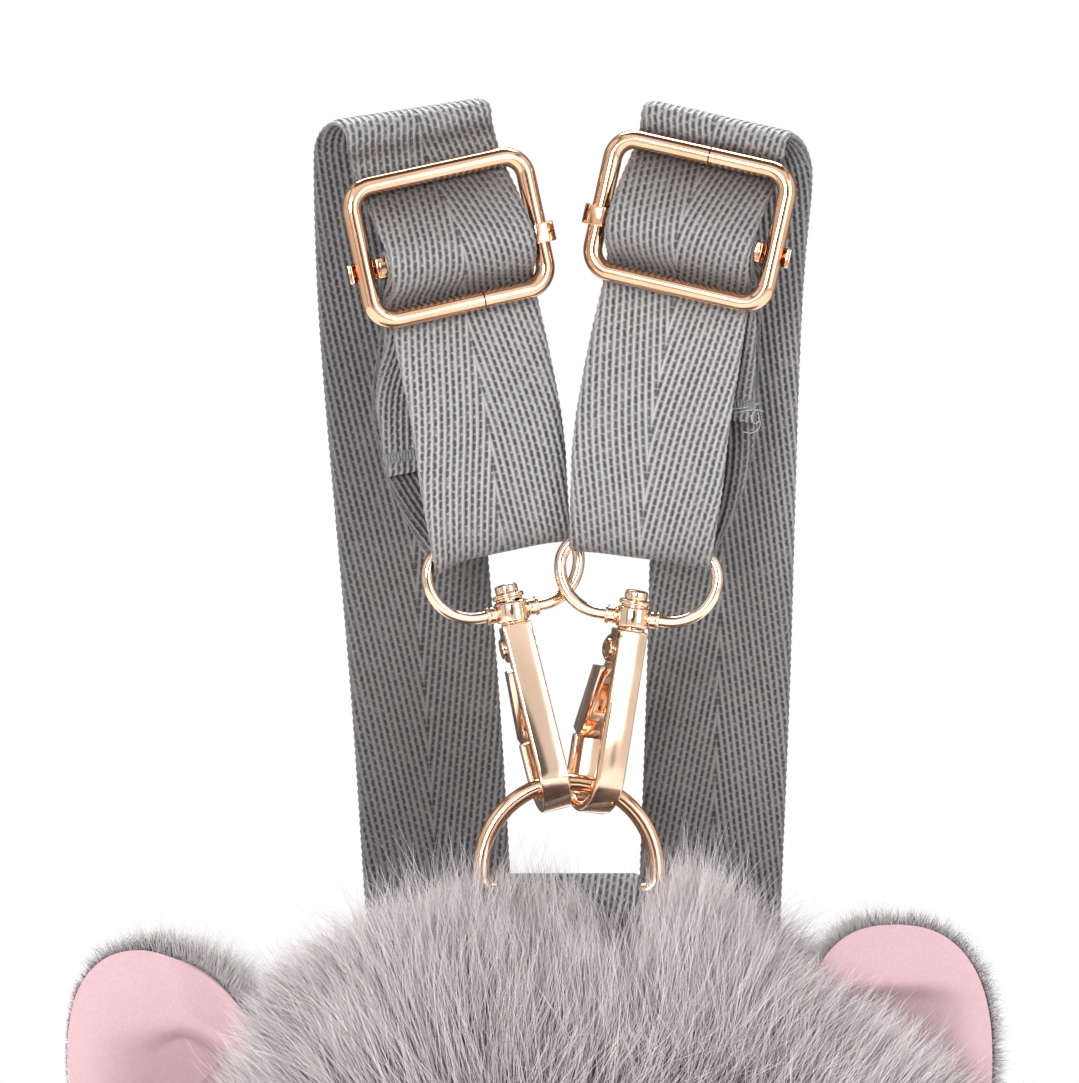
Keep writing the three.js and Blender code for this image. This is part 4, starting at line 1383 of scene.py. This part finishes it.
def trimmed(roots, start, end, length, rng):
    """Lengths cut so that the fur leaves the ears free, but for some loose hairs, and the back flat."""
    reach = length[:, None] * (start + end) / 2
    tips = roots + reach
    behind = np.clip((tips[:, 1] - FUR_BACK) / np.maximum(reach[:, 1], 1e-3), 0, 0.85)
    length = length * (1 - behind)
    spare = rng.exponential(2.0, len(roots)) + 5 * (roots[:, 1] < EAR_FOOT)
    for ear in EARS.values():
        corner, facing = np.array(ear["fur_line"][:2]), np.array(ear["fur_line"][2:])
        facing = facing / np.linalg.norm(facing)
        over = (tips[:, [0, 2]] - corner) @ facing - spare
        travel = np.maximum(reach[:, [0, 2]] @ facing, 1e-3)
        in_front = (tips[:, 1] < ear["y"] + 6) & (np.abs(tips[:, 0] - ear["x"]) < 24) & (over > 0)
        in_front &= tips[:, 2] > LOW_TIPS
        length = np.where(in_front, length * np.clip(1 - over / travel, 0.12, 1), length)
    return length


def gathered(roots, start, end, length, rng, strands_in_lock=30):
    """New tip directions, with the strands drawn together into locks."""
    leaders = rng.choice(len(roots), max(1, len(roots) // strands_in_lock), replace=False)
    squares = np.sum(roots**2, axis=1)[:, None] + np.sum(roots[leaders] ** 2, axis=1)[None]
    nearest = leaders[np.argmin(squares - 2 * roots @ roots[leaders].T, axis=1)]
    tips = roots + length[:, None] * (start + end) / 2
    goal = tips[nearest] + 0.22 * (roots - roots[nearest])
    pull = rng.uniform(0.0, 0.7, len(roots))[:, None]
    tips += pull * (goal - tips)
    lock_tone = rng.normal(size=len(roots))[nearest]
    return 2 * (tips - roots) / length[:, None] - start, lock_tone


def past_fur_line(points, ear):
    """How far points lie past the line that the fur stops at, in the front view."""
    line = np.array(ear["fur_line"])
    return (points[:, [0, 2]] - line[:2]) @ line[2:]


def fur_zone(name, count, weight, rings, width, size, loose, material, seed):
    """One mesh of fur, with room left for the tab, the ears and the straps."""
    rng = np.random.default_rng(seed)
    roots = planted(head_rows(-0.6, 12, 30, 120), count, weight, rng)
    x, y, z = roots.T
    at_tab = (np.abs(x) < TAB_ROOM["half"]) & (np.abs(y - RING_Y) < TAB_ROOM["deep"])
    keep = ~(at_tab & (z > TAB_ROOM["low"]))
    for ear in EARS.values():
        near = np.hypot(x - ear["x"], z - ear["z"]) < EAR_ROOM
        keep &= ~(near & (y > ear["y"] - 6) & (y < ear["y"] + 14))
        beside = (np.abs(x - ear["x"]) < EAR_ROOM) & (y > EAR_FOOT) & (y < ear["y"] + 6)
        keep &= ~((past_fur_line(roots, ear) > 0) & beside & (z > LOW_ROOTS))
    for middle in STRAPS_IN_FUR:
        under_strap = (np.abs(x - middle) < STRAP_ROOM["half"]) & (y > STRAP_ROOM["front"])
        keep &= ~(under_strap & (z > STRAP_ROOM["low"]))
    roots = roots[keep]
    start, end, length = combed(roots, rng, size, loose)
    end, lock_tone = gathered(roots, start, end, length, rng)
    length = trimmed(roots, start, end, length, rng)
    tone = np.clip(0.52 + 0.2 * rng.normal(size=len(roots)) + 0.12 * lock_tone, 0, 1)
    widths = width * (0.7 + 0.6 * rng.random(len(roots)))
    piece = spikes(name, roots, start, end, length, widths, tone, rings)
    print(name, "has", len(roots), "strands")
    return dressed(piece, material, "fur")


def crown(points):
    return rising(points[:, 2], -184, 18)


def wispy(points):
    """Where guard hairs grow: on the crown, but not round the tab and behind it."""
    near_tab = (np.abs(points[:, 0]) < 19) & (points[:, 1] > -8) & (points[:, 2] > -165)
    return crown(points) * ~near_tab


SEAM_SPLIT = 8


def lower(sign, front):
    """The fur below the crown, on one side of the head, before the seam or behind it."""

    def weight(points):
        return (1 - crown(points)) * (sign * points[:, 0] >= 0) * ((points[:, 1] < SEAM_SPLIT) == front)

    return weight


ZONES = [
    # name, strands, weight, rings, width, length, looseness, material, seed
    ("fur_crown_left", 11200, lambda p: crown(p) * (p[:, 0] < 0), 3, 0.18, 18.5, 0.22, FUR, 11),
    ("fur_crown_right", 11200, lambda p: crown(p) * (p[:, 0] >= 0), 3, 0.18, 18.5, 0.22, FUR, 12),
    ("guard_hairs", 6500, wispy, 3, 0.13, 25.5, 0.34, GUARD_HAIR, 17),
    ("fur_face_left", 6500, lower(-1, True), 2, 0.5, 19, 0.2, FUR, 13),
    ("fur_face_right", 6500, lower(1, True), 2, 0.5, 19, 0.2, FUR, 14),
    ("fur_side_left", 3800, lower(-1, False), 2, 0.6, 19, 0.2, FUR, 15),
    ("fur_side_right", 3800, lower(1, False), 2, 0.6, 19, 0.2, FUR, 16),
]
zones = [fur_zone(*row) for row in ZONES]
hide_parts("fur_pile")

# %% [markdown]
# ## Ears
# Each ear is two shells sewn together: a velour lining in front, hollow like a spoon, with a soft fold
# across it, and a back of short grey plush whose pile stands out round the edge. The outline is an oval, a
# little squarer than an ellipse. Both shells are grids over that oval, and what would lie inside the head is
# cut off.

# %% Ear shells
def ear_place(ear):
    return place_of(ear["x"], ear["y"], ear["z"], 0, ear["yaw"])


def ear_grid(ear, shape, grow, depth, shares, count=96):
    """Rows over an oval of the ear. depth gives how far back a point lies, from its share, x and z."""
    shift_x, shift_z, half_width, half_height, squareness, slope = ear[shape]
    angles = np.arange(count) / count * 2 * np.pi
    rows = []
    for share in shares:
        x = share * (half_width + grow) * signed_power(np.cos(angles), 2 / squareness) + shift_x
        z = share * (half_height + grow) * signed_power(np.sin(angles), 2 / squareness) + shift_z
        z += slope * (x - shift_x)
        rows.append(np.stack([x, depth(share, x + ear["x"], z + ear["z"]), z], axis=1))
    return np.array(rows)


# the left ear's fold is level up to x, and falls by its slope beyond
FOLD = {"x": -67, "z": -156.6, "slope": 0.57, "round": 12}


def left_hollow(x, z):
    """How deep the left ear is hollowed, from 0 to 1, and where its fold stands up as a lip."""
    beyond = x - FOLD["x"]
    fold = FOLD["z"] - FOLD["slope"] * (beyond + np.sqrt(beyond**2 + FOLD["round"])) / 2
    softness = 6.0 - 4.2 * eased(rising(x, -74, 9))
    lip = np.exp(-(((z - fold - 0.9) / 0.8) ** 2)) * eased(rising(x, -70, 5))
    return eased(rising(x, -84, 15)) * eased(falling(z, fold, softness)), lip


def right_hollow(x, z):
    return eased(falling(x, 72, 13)) * eased(falling(z, -149.4, 4)), 0 * x


HOLLOWS = {"left": left_hollow, "right": right_hollow}
# behind its seam the head closes as slowly as an oval that is this much deeper than its back
BACK_TAPER = 2.9


def lining_depth(hollow, most):
    """A padded band round a hollow whose upper edge is a soft fold."""

    def depth(share, x, z):
        deep, lip = hollow(x, z)
        return -1.2 + 1.2 * share**6 + (1 - share**4) * (most * deep - 1.1 * lip)

    return depth


def back_depth(share, x, z):
    return 0.9 + 7.4 * math.sqrt(1.02 - share**2) + 0 * x


def head_oval(x, z, grow=0):
    """How far out a point lies in the front view: 1 on the head's outline."""
    across = np.abs(x / (HEAD["half_width"] + grow)) ** SQUARENESS
    return across + np.abs((z - HEAD["centre_z"]) / (HEAD["half_height"] + grow)) ** SQUARENESS


def inside_head(points, grow):
    x, y, z = points.T
    front_depth = HEAD["seam_y"] - HEAD["front_y"] + grow
    rear_depth = BACK_TAPER * (HEAD_BACK["y"] - HEAD["seam_y"])
    depth = np.where(y < HEAD["seam_y"], front_depth, rear_depth)
    return head_oval(x, z, grow) + np.abs((y - HEAD["seam_y"]) / depth) ** SQUARENESS < 1


def seated(points, ear, follow):
    """Bends an ear forward near the fur line, and lays what would run into the head on its skin.

    The lining follows whole, and the back of the ear at its rim but not in its middle.
    """
    x, y, z = points.T
    distance = past_fur_line(points, ear)
    bent = y - ear["bend"] * eased(falling(distance, 12, 15))
    depth = HEAD["seam_y"] - HEAD["front_y"]
    skin = HEAD["seam_y"] - depth * np.clip(1 - head_oval(x, z), 0, 1) ** (1 / SQUARENESS) - 0.9
    passage = 1.2 * ear["bend"] * eased(falling(distance, 16, 14))
    laid = (bent + skin - np.sqrt((bent - skin) ** 2 + passage**2)) / 2
    goal = np.where((distance > -1.5) & (z > LOW_EAR), laid, bent)
    points[:, 1] = y + follow * (goal - y)


def ear_shell(name, rows, ear, follow, thickness, hollow=None):
    place = ear_place(ear)
    count = rows.shape[1]
    points = rows.reshape(-1, 3) @ np.array(place.to_3x3()).T + np.array(place.translation) / MM
    seated(points, ear, np.repeat(follow, count))
    points = np.concatenate([points, [points[:count].mean(axis=0)]])
    ring = np.arange(count)
    cap = np.stack([np.full_like(ring, len(points) - 1), np.roll(ring, -1), ring], axis=1)
    hidden = inside_head(points, -1.0) | (points[:, 1] < EAR_FOOT)
    faces = []
    for part in (tube_faces(len(rows), count), cap):
        faces += part[~hidden[part].all(axis=1)].tolist()
    piece = mesh_piece(name, points, faces)
    if hollow is not None:
        # painted shade in the hollow of the lining
        written(piece, "hollow", hollow(points[:, 0], points[:, 2])[0] * ear["shade"])
    faced_out(piece, TINY)
    thickened(piece, thickness)
    return smooth(piece, 60)


def velour():
    material, tree = fresh("pink_velour")
    nap = noise(tree, 1800, 3)
    cloud = noise(tree, 70, 2)
    colour = times(
        tree,
        two_tone(tree, cloud, (0.49, 0.325, 0.345), (0.52, 0.345, 0.365)),
        two_tone(tree, nap, (0.93, 0.92, 0.92), WHITE),
        # painted shade in the ear's hollow
        tinted(tree, attribute(tree, "hollow"), (0.63, 0.65, 0.67)),
    )
    look = {
        "Base Color": colour,
        "Roughness": 0.85,
        "Sheen Weight": 0.12,
        "Sheen Roughness": 0.35,
        "Normal": bump(tree, nap, 0.25, 0.0002),
    }
    return surface(material, look)


VELOUR = velour()
EAR_CLOTH = plush_cloth("ear_plush", (0.34, 0.325, 0.33), (0.46, 0.44, 0.445))
EAR_FUR = fur(
    "short_fur",
    [(0.0, (0.43, 0.4, 0.405)), (0.5, (0.56, 0.525, 0.53)), (1.0, (0.74, 0.7, 0.705))],
    [(0.0, (0.66, 0.65, 0.66)), (0.6, (0.92, 0.91, 0.91)), (1.0, WHITE)],
)
SHARES = np.concatenate([np.linspace(0.02, 0.94, 40), np.linspace(0.96, 1, 4)])
for side, ear in EARS.items():
    hollow = HOLLOWS[side]
    front = ear_grid(ear, "lining", 0, lining_depth(hollow, ear["deep"]), SHARES)
    piece = ear_shell(f"ear_velour_{side}", front, ear, np.ones(len(SHARES)), 0.9, hollow)
    dressed(piece, VELOUR, "ear_satin", f"ear_{side}_lining")
    bowl = ear_grid(ear, "oval", -0.7, back_depth, SHARES[::3], 48)
    shell = ear_shell(f"ear_plush_{side}", bowl, ear, SHARES[::3] ** 3, 1.0)
    dressed(shell, EAR_CLOTH, "ear_fur", f"ear_{side}_back")

# %% [markdown]
# The short pile of an ear is planted like the long fur, most of it round the rim, where it shows. The
# outer edge of an ear is brushed back flat, and the inner edge stands up.

# %% Ear pile
def ear_pile(side, ear, count, seed):
    rng = np.random.default_rng(seed)
    place = ear_place(ear)
    turn = np.array(place.to_3x3())
    shift_x, shift_z, half_width, half_height, squareness, slope = ear["oval"]

    def oval_share(points):
        x = points[:, 0] - shift_x
        z = points[:, 2] - shift_z - slope * x
        return x / half_width, z / half_height

    def weight(points):
        return 0.35 + 3.0 * (np.hypot(*oval_share(points)) > 0.93)

    back = planted(ear_grid(ear, "oval", -0.5, back_depth, SHARES), count * 3 // 4, weight, rng)
    seam = ear_grid(ear, "lining", 0.1, lambda share, x, z: 0 * x + 0.7, [1.0])
    border = ear_grid(ear, "oval", 0.2, lambda share, x, z: 0 * x + 1.4, [1.0])
    rim = planted(np.concatenate([seam, border]), count // 4, evenly, rng)
    local = np.concatenate([back, rim])
    count = len(local)
    across, up = oval_share(local)
    share = np.hypot(across, up)
    outward = unit(np.stack([across, 0 * share, up], axis=1))
    inward = outward[:, 0] * (1 if side == "left" else -1)
    edge = rising(share, 0.7, 0.3)[:, None]
    behind = np.array([0.0, 1.0, 0.0])
    stray = rng.normal(size=local.shape)
    start = unit(edge * outward + (1.2 - edge) * behind + 0.22 * stray)
    end = unit(0.8 * outward + 0.25 * behind + np.array([0, 0, 0.25]) + 0.55 * rng.normal(size=local.shape))
    roots = local @ turn.T + np.array(place.translation) / MM
    seated(roots, ear, np.clip(share, 0, 1) ** 3)
    length = np.interp(inward, [-1, -0.6, 0, 0.6, 1], ear["pile"]) * (0.6 + 0.7 * rng.random(count))
    keep = ~inside_head(roots, 1.0)
    tone = np.clip(0.5 + 0.22 * rng.normal(size=count), 0, 1)
    widths = 0.16 * (0.7 + 0.6 * rng.random(count))
    rows = [values[keep] for values in (roots, start @ turn.T, end @ turn.T, length, widths, tone)]
    piece = spikes(f"ear_pile_{side}", *rows, 2)
    return dressed(piece, EAR_FUR, "ear_fur")


EAR_HAIRS = 10500
for side, seed in (("left", 31), ("right", 32)):
    ear_pile(side, EARS[side], EAR_HAIRS, seed)

# %% [markdown]
# ## Back panel
# Behind, the bag is closed by one flat panel of short plush with a zip in its middle. By hand we would
# fill the outline, inset a slot and puff the face up a little. Here the same grid runs from the slot to the
# rim. A cushion sewn down at both edges is highest between them, so the skin is raised there, and a short
# pile covers it except under the straps.

# %% Back panel
PANEL = {"y": 46.6, "skin": 1.8, "puff": 0.8, "slot_half": 7.5, "slot_top": -170, "slot_foot": -276}


def even_loop(points, count):
    """The same closed line, with its points at even steps."""
    closed = np.concatenate([points, points[:1]])
    lengths = lengths_along(closed)
    return read_at(np.arange(count) / count * lengths[-1], lengths, closed)


def sheet(name, rows, thickness, angle):
    """A band of rows, closed round, with a thickness."""
    piece = faced_out(mesh_piece(name, rows, tube_faces(*rows.shape[:2]).tolist()))
    thickened(piece, thickness)
    return smooth(piece, angle)


def slot_line(half_width, top, foot, count):
    """A slot with round ends, from its right side and turning as the head's outline does."""
    turns = np.linspace(0, np.pi, 25)
    upper = np.stack([np.cos(turns) * half_width, np.sin(turns) * half_width + top - half_width], axis=1)
    lower = np.stack([-np.cos(turns) * half_width, -np.sin(turns) * half_width + foot + half_width], axis=1)
    middle = [[half_width, (top + foot) / 2]]
    return even_loop(np.concatenate([middle, upper, lower]), count)


def rim_line(grow, count):
    angles = np.linspace(0, 2 * np.pi, 720, endpoint=False)
    ring = head_ring(0, HEAD_BACK["scale"], grow, angles)
    return even_loop(ring[:, [0, 2]], count)


def between(inner, outer, shares, level):
    rows = []
    for share in shares:
        line = inner + (outer - inner) * share
        rows.append(np.stack([line[:, 0], np.full(len(line), level(share)), line[:, 1]], axis=1))
    return np.array(rows)


def puffed(share):
    return PANEL["y"] + PANEL["puff"] * math.sin(math.pi * share) ** 0.6


SLOT = slot_line(PANEL["slot_half"], PANEL["slot_top"], PANEL["slot_foot"], 160)
RIM = rim_line(-2.3, 160)
panel_rows = between(SLOT, RIM, np.linspace(0, 1, 18), puffed)
PANEL_CLOTH = plush_cloth("panel_plush", (0.24, 0.205, 0.215), (0.34, 0.295, 0.305))
panel = sheet("plush_back", panel_rows, PANEL["skin"], 60)
dressed(panel, PANEL_CLOTH, "fur", "back_panel")

# %% Short pile on the back
rng = np.random.default_rng(41)
PULL_ROOM = {"half": 3.4, "low": -285}
FOOT_ROOM = {"half": 13.2, "low": -297.5}
BACK_PILE = {"count": 16000, "length": 3.6, "width": 0.42}
roots = planted(panel_rows + np.array([0, PANEL["skin"] / 2, 0]), BACK_PILE["count"], evenly, rng)
free = (np.abs(roots[:, 0]) >= PULL_ROOM["half"]) | (roots[:, 2] <= PULL_ROOM["low"])
for middle in STRAPS_ON_BACK:
    free &= (np.abs(roots[:, 0] - middle) > FOOT_ROOM["half"]) | (roots[:, 2] < FOOT_ROOM["low"])
roots = roots[free]
stray = rng.normal(size=roots.shape)
start = unit(np.array([0, 0.9, -0.35]) + 0.25 * stray)
end = unit(np.array([0, 0.45, -0.85]) + 0.35 * rng.normal(size=roots.shape))
length = BACK_PILE["length"] * (0.7 + 0.6 * rng.random(len(roots)))
tone = np.clip(0.5 + 0.22 * rng.normal(size=len(roots)), 0, 1)
widths = BACK_PILE["width"] * (0.8 + 0.4 * rng.random(len(roots)))
dressed(spikes("back_pile", roots, start, end, length, widths, tone, 1), FUR, "fur")

# %% [markdown]
# ## Zip
# A zip is two woven tapes with teeth along their inner edges. The mouth stands a little open, so the teeth
# follow the slit. One tooth is a small block with a chamfered nose, and its copies are set by arrays.
# The slider waits at the foot of the slit, with its pull hanging down.

# %% Tape and teeth
ZIP = {"y": 44.3, "half": 13, "top": -162, "foot": -284}
SLIT = {"half": 5, "top": -172, "foot": -265}
TEETH = 118
TOOTH_INSET = 0.5


def tape_material():
    material, tree = fresh("zip_tape")
    weave = noise(tree, 1400, 2, (1, 1, 3))
    look = {
        "Base Color": two_tone(tree, weave, (0.1, 0.095, 0.1), (0.2, 0.19, 0.195)),
        "Roughness": 0.8,
        "Normal": bump(tree, weave, 0.5, 0.0002),
    }
    return surface(material, look)


inner = slot_line(SLIT["half"], SLIT["top"], SLIT["foot"], 160)
outer = slot_line(ZIP["half"], ZIP["top"], ZIP["foot"], 160)
tape_rows = between(inner, outer, np.linspace(0, 1, 8), lambda share: ZIP["y"])
dressed(sheet("zip_tape", tape_rows, 0.8, 40), tape_material(), "zip_tape", "zip")
TOOTH = np.array(
    [
        (x, y, z)
        for x, half in ((-1.1, 0.3), (0.5, 0.5), (1.1, 0.5))
        for y, z in ((-1.1, -half), (1.1, -half), (1.1, half), (-1.1, half))
    ]
)
TOOTH_FACES = [(3, 2, 1, 0), (8, 9, 10, 11)]
for corner in range(8):
    beside = corner // 4 * 4 + (corner + 1) % 4
    TOOTH_FACES.append((corner, beside, beside + 4, corner + 4))
tooth_line = (SLIT["half"] + TOOTH_INSET, SLIT["top"] + TOOTH_INSET, SLIT["foot"] - TOOTH_INSET)
line = even_loop(slot_line(*tooth_line, 400), TEETH)
tangents = unit(np.roll(line, -1, axis=0) - np.roll(line, 1, axis=0))
outward = np.stack([tangents[:, 1], -tangents[:, 0]], axis=1)
flat = line[:, None] + outward[:, None] * TOOTH[:, :1] + tangents[:, None] * TOOTH[:, 2:]
depths = np.broadcast_to(ZIP["y"] + TOOTH[:, 1], flat.shape[:2])
points = np.stack([flat[..., 0], depths, flat[..., 1]], axis=-1)
teeth = mesh_piece("zip_teeth", points, repeated(TOOTH_FACES, TEETH, len(TOOTH)).tolist())
dressed(smooth(faced_out(teeth), 30), WARM_GOLD, "rose_gold")

# %% Zip slider
body = block("body", (7, 3.4, 8), (0, 45.6, -267.6), 0.8)
nose = block("nose", (3.6, 3.2, 4), (0, 45.6, -262.8), 0.8)
bridge = bent_wire("bridge", 2.4, 2.4, -2.4, 1.4, 1.4, 1.5)
settled(bridge, Matrix.Translation(Vector((0, 47.3, -267.2)) * MM) @ turned("Z", 90))
pull = block("pull", (4.6, 0.9, 15), (0, 48.3, -275.9), 0.35)
puller = joined("zip_slider", [body, nose, bridge, pull])
dressed(smooth(puller, 40), WARM_GOLD, "rose_gold")

# %% [markdown]
# ## Stitches
# Each stitch is a short grain of thread, thick in the middle and sunk at both ends. One grain has eight
# faces. A line of stitches is a row of grains along a path on the webbing, and all of them are one mesh.

# %% Stitches
BOX_HALF = 9.5
STITCH_GAP = 0.08


def thread(name, dark, pale):
    material, tree = fresh(name)
    colour = two_tone(tree, noise(tree, 3000, 1), dark, pale)
    return surface(material, {"Base Color": colour, "Roughness": 0.55})


def grains(name, rows, thickness, material):
    """One grain for each start, end and up that the rows hold."""
    starts, ends, ups = [np.concatenate(part) for part in zip(*rows)]
    middle = (starts + ends) / 2
    side = unit(np.cross(ends - starts, ups)) * thickness / 2
    rise = unit(ups) * thickness / 2
    points = np.stack([starts, ends, middle + side, middle + rise, middle - side, middle - rise], axis=1)
    pattern = []
    for here, beside in ((2, 3), (3, 4), (4, 5), (5, 2)):
        pattern += [(0, beside, here), (1, here, beside)]
    piece = mesh_piece(name, points, repeated(pattern, len(starts), 6).tolist())
    return dressed(smooth(faced_out(piece), 80), material, "webbing")


def on_strap(side, along, across, lift):
    """A point on the strap's outer or inner face, at a distance along it and across it."""
    way, sides, stops = STRAP_WAY[side]
    centre = read_at(along, stops, way)
    ahead = read_at(along + 0.5, stops, way)
    cross = unit(read_at(along, stops, sides))
    out = unit(np.cross(ahead - centre, cross))
    return centre + cross * across[:, None] + out * lift, out


def sewn(side, starts, ends, lift):
    """Where stitches start and end on a strap, and which way is up for them."""
    first = on_strap(side, *starts.T, lift)[0]
    last, ups = on_strap(side, *ends.T, lift)
    return first, last, ups * np.sign(lift)


def sewn_box(side, low, high, lift, pitch=2.4):
    """A box with a cross in it: the usual seam that takes a strap's pull."""
    corners = [(low, -BOX_HALF), (low, BOX_HALF), (high, BOX_HALF), (high, -BOX_HALF)]
    legs = [(0, 1), (1, 2), (2, 3), (3, 0), (0, 2), (1, 3)]
    starts, ends = [], []
    for leg in legs:
        here, there = np.array([corners[corner] for corner in leg])
        count = max(2, int(math.hypot(*(there - here)) / pitch))
        shares = np.arange(count)[:, None]
        starts.append(here + (there - here) * (shares + STITCH_GAP) / count)
        ends.append(here + (there - here) * (shares + 1 - STITCH_GAP) / count)
    return sewn(side, np.concatenate(starts), np.concatenate(ends), lift)


THREAD = thread("sewing_thread", (0.1, 0.097, 0.1), (0.24, 0.235, 0.24))
PALE_THREAD = thread("pale_thread", (0.42, 0.41, 0.41), (0.62, 0.61, 0.61))
OUTER = -(BAND["thickness"] / 2 + 0.06)
# how far before the strap's lower end each sewn box begins and ends
SEWN_BOXES = ((19, 2.5), (138, 121))
rows = []
for side in STRAPS:
    whole = STRAP_WAY[side][2][-1]
    for begin, end in SEWN_BOXES:
        rows.append(sewn_box(side, whole - begin, whole - end, OUTER))
grains("strap_stitches", rows, 0.6, PALE_THREAD)

# %% [markdown]
# The end of each strap is sewn to the layer behind it with a bar tack, a dense band of zigzag stitches.
# On the right strap a few threads of it have come loose and stand out beside the strap as a small curl.

# %% Bar tacks
TACK = {"along": 3.0, "half": 12.3, "stitches": 46, "slant": 1.1, "drift": 0.2}
across = np.linspace(-TACK["half"], TACK["half"], TACK["stitches"])
rows = []
for side in STRAPS:
    for lift in (-OUTER, OUTER):
        for slant in (-TACK["slant"], TACK["slant"]):
            middles = np.stack([np.full_like(across, TACK["along"]), across], axis=1)
            half = np.array([slant, TACK["drift"]])
            rows.append(sewn(side, middles - half, middles + half, lift))
grains("bar_tacks", rows, 0.7, THREAD)

# %% Loose threads
def loose_thread(name, points, thickness):
    data = bpy.data.curves.new(name, "CURVE")
    data.dimensions = "3D"
    spline = data.splines.new("BEZIER")
    spline.bezier_points.add(len(points) - 1)
    for knot, point in zip(spline.bezier_points, points):
        knot.co = Vector(point) * MM
        knot.handle_left_type = "AUTO"
        knot.handle_right_type = "AUTO"
    data.bevel_depth = thickness / 2 * MM
    data.bevel_resolution = 1
    data.resolution_u = 6
    data.use_fill_caps = True
    only(linked(name, data))
    bpy.ops.object.convert(target="MESH")
    return added(name)


corner = on_strap("right", np.array([2.0]), np.array([12.0]), 0)[0][0] + np.array([-2.0, 0, 0.2])
CURLS = [
    [(-4, 0.3, -0.1), (-1, -0.6, 0.2), (1, -0.9, 0.45), (2.3, -0.8, 0.9), (3.1, -0.6, 1.1)],
    [(-4, 0.3, -0.8), (-1, -0.6, -0.5), (1, -0.9, -0.1), (2.7, -0.9, 0), (3.8, -0.5, -0.2)],
    [
        *[(2.7, -0.8, 0), (1.9, -0.9, -0.9), (2, -1, -1.9)],
        *[(2.5, -1.1, -2.4), (3.1, -1, -1.8), (2.9, -0.9, -0.3)],
    ],
    [(3, -0.8, -1.2), (3.3, -0.9, -2.6), (2.9, -1, -3.4), (1.7, -0.8, -4), (0.5, -0.5, -3.8)],
]
loose = joined("loose_threads", [loose_thread("thread", corner + np.array(curl), 0.12) for curl in CURLS])
dressed(smooth(loose, 60), PALE_THREAD, "webbing")

# %% Finish
solids = list(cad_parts.values())
made = [piece for piece in bpy.data.objects if piece.type == "MESH" and piece not in solids]
print("triangles added in all:", sum(triangles(piece) for piece in made))
size = {"cad": [list(c) for c in CAD_BOX], "visual": [list(c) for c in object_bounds()]}
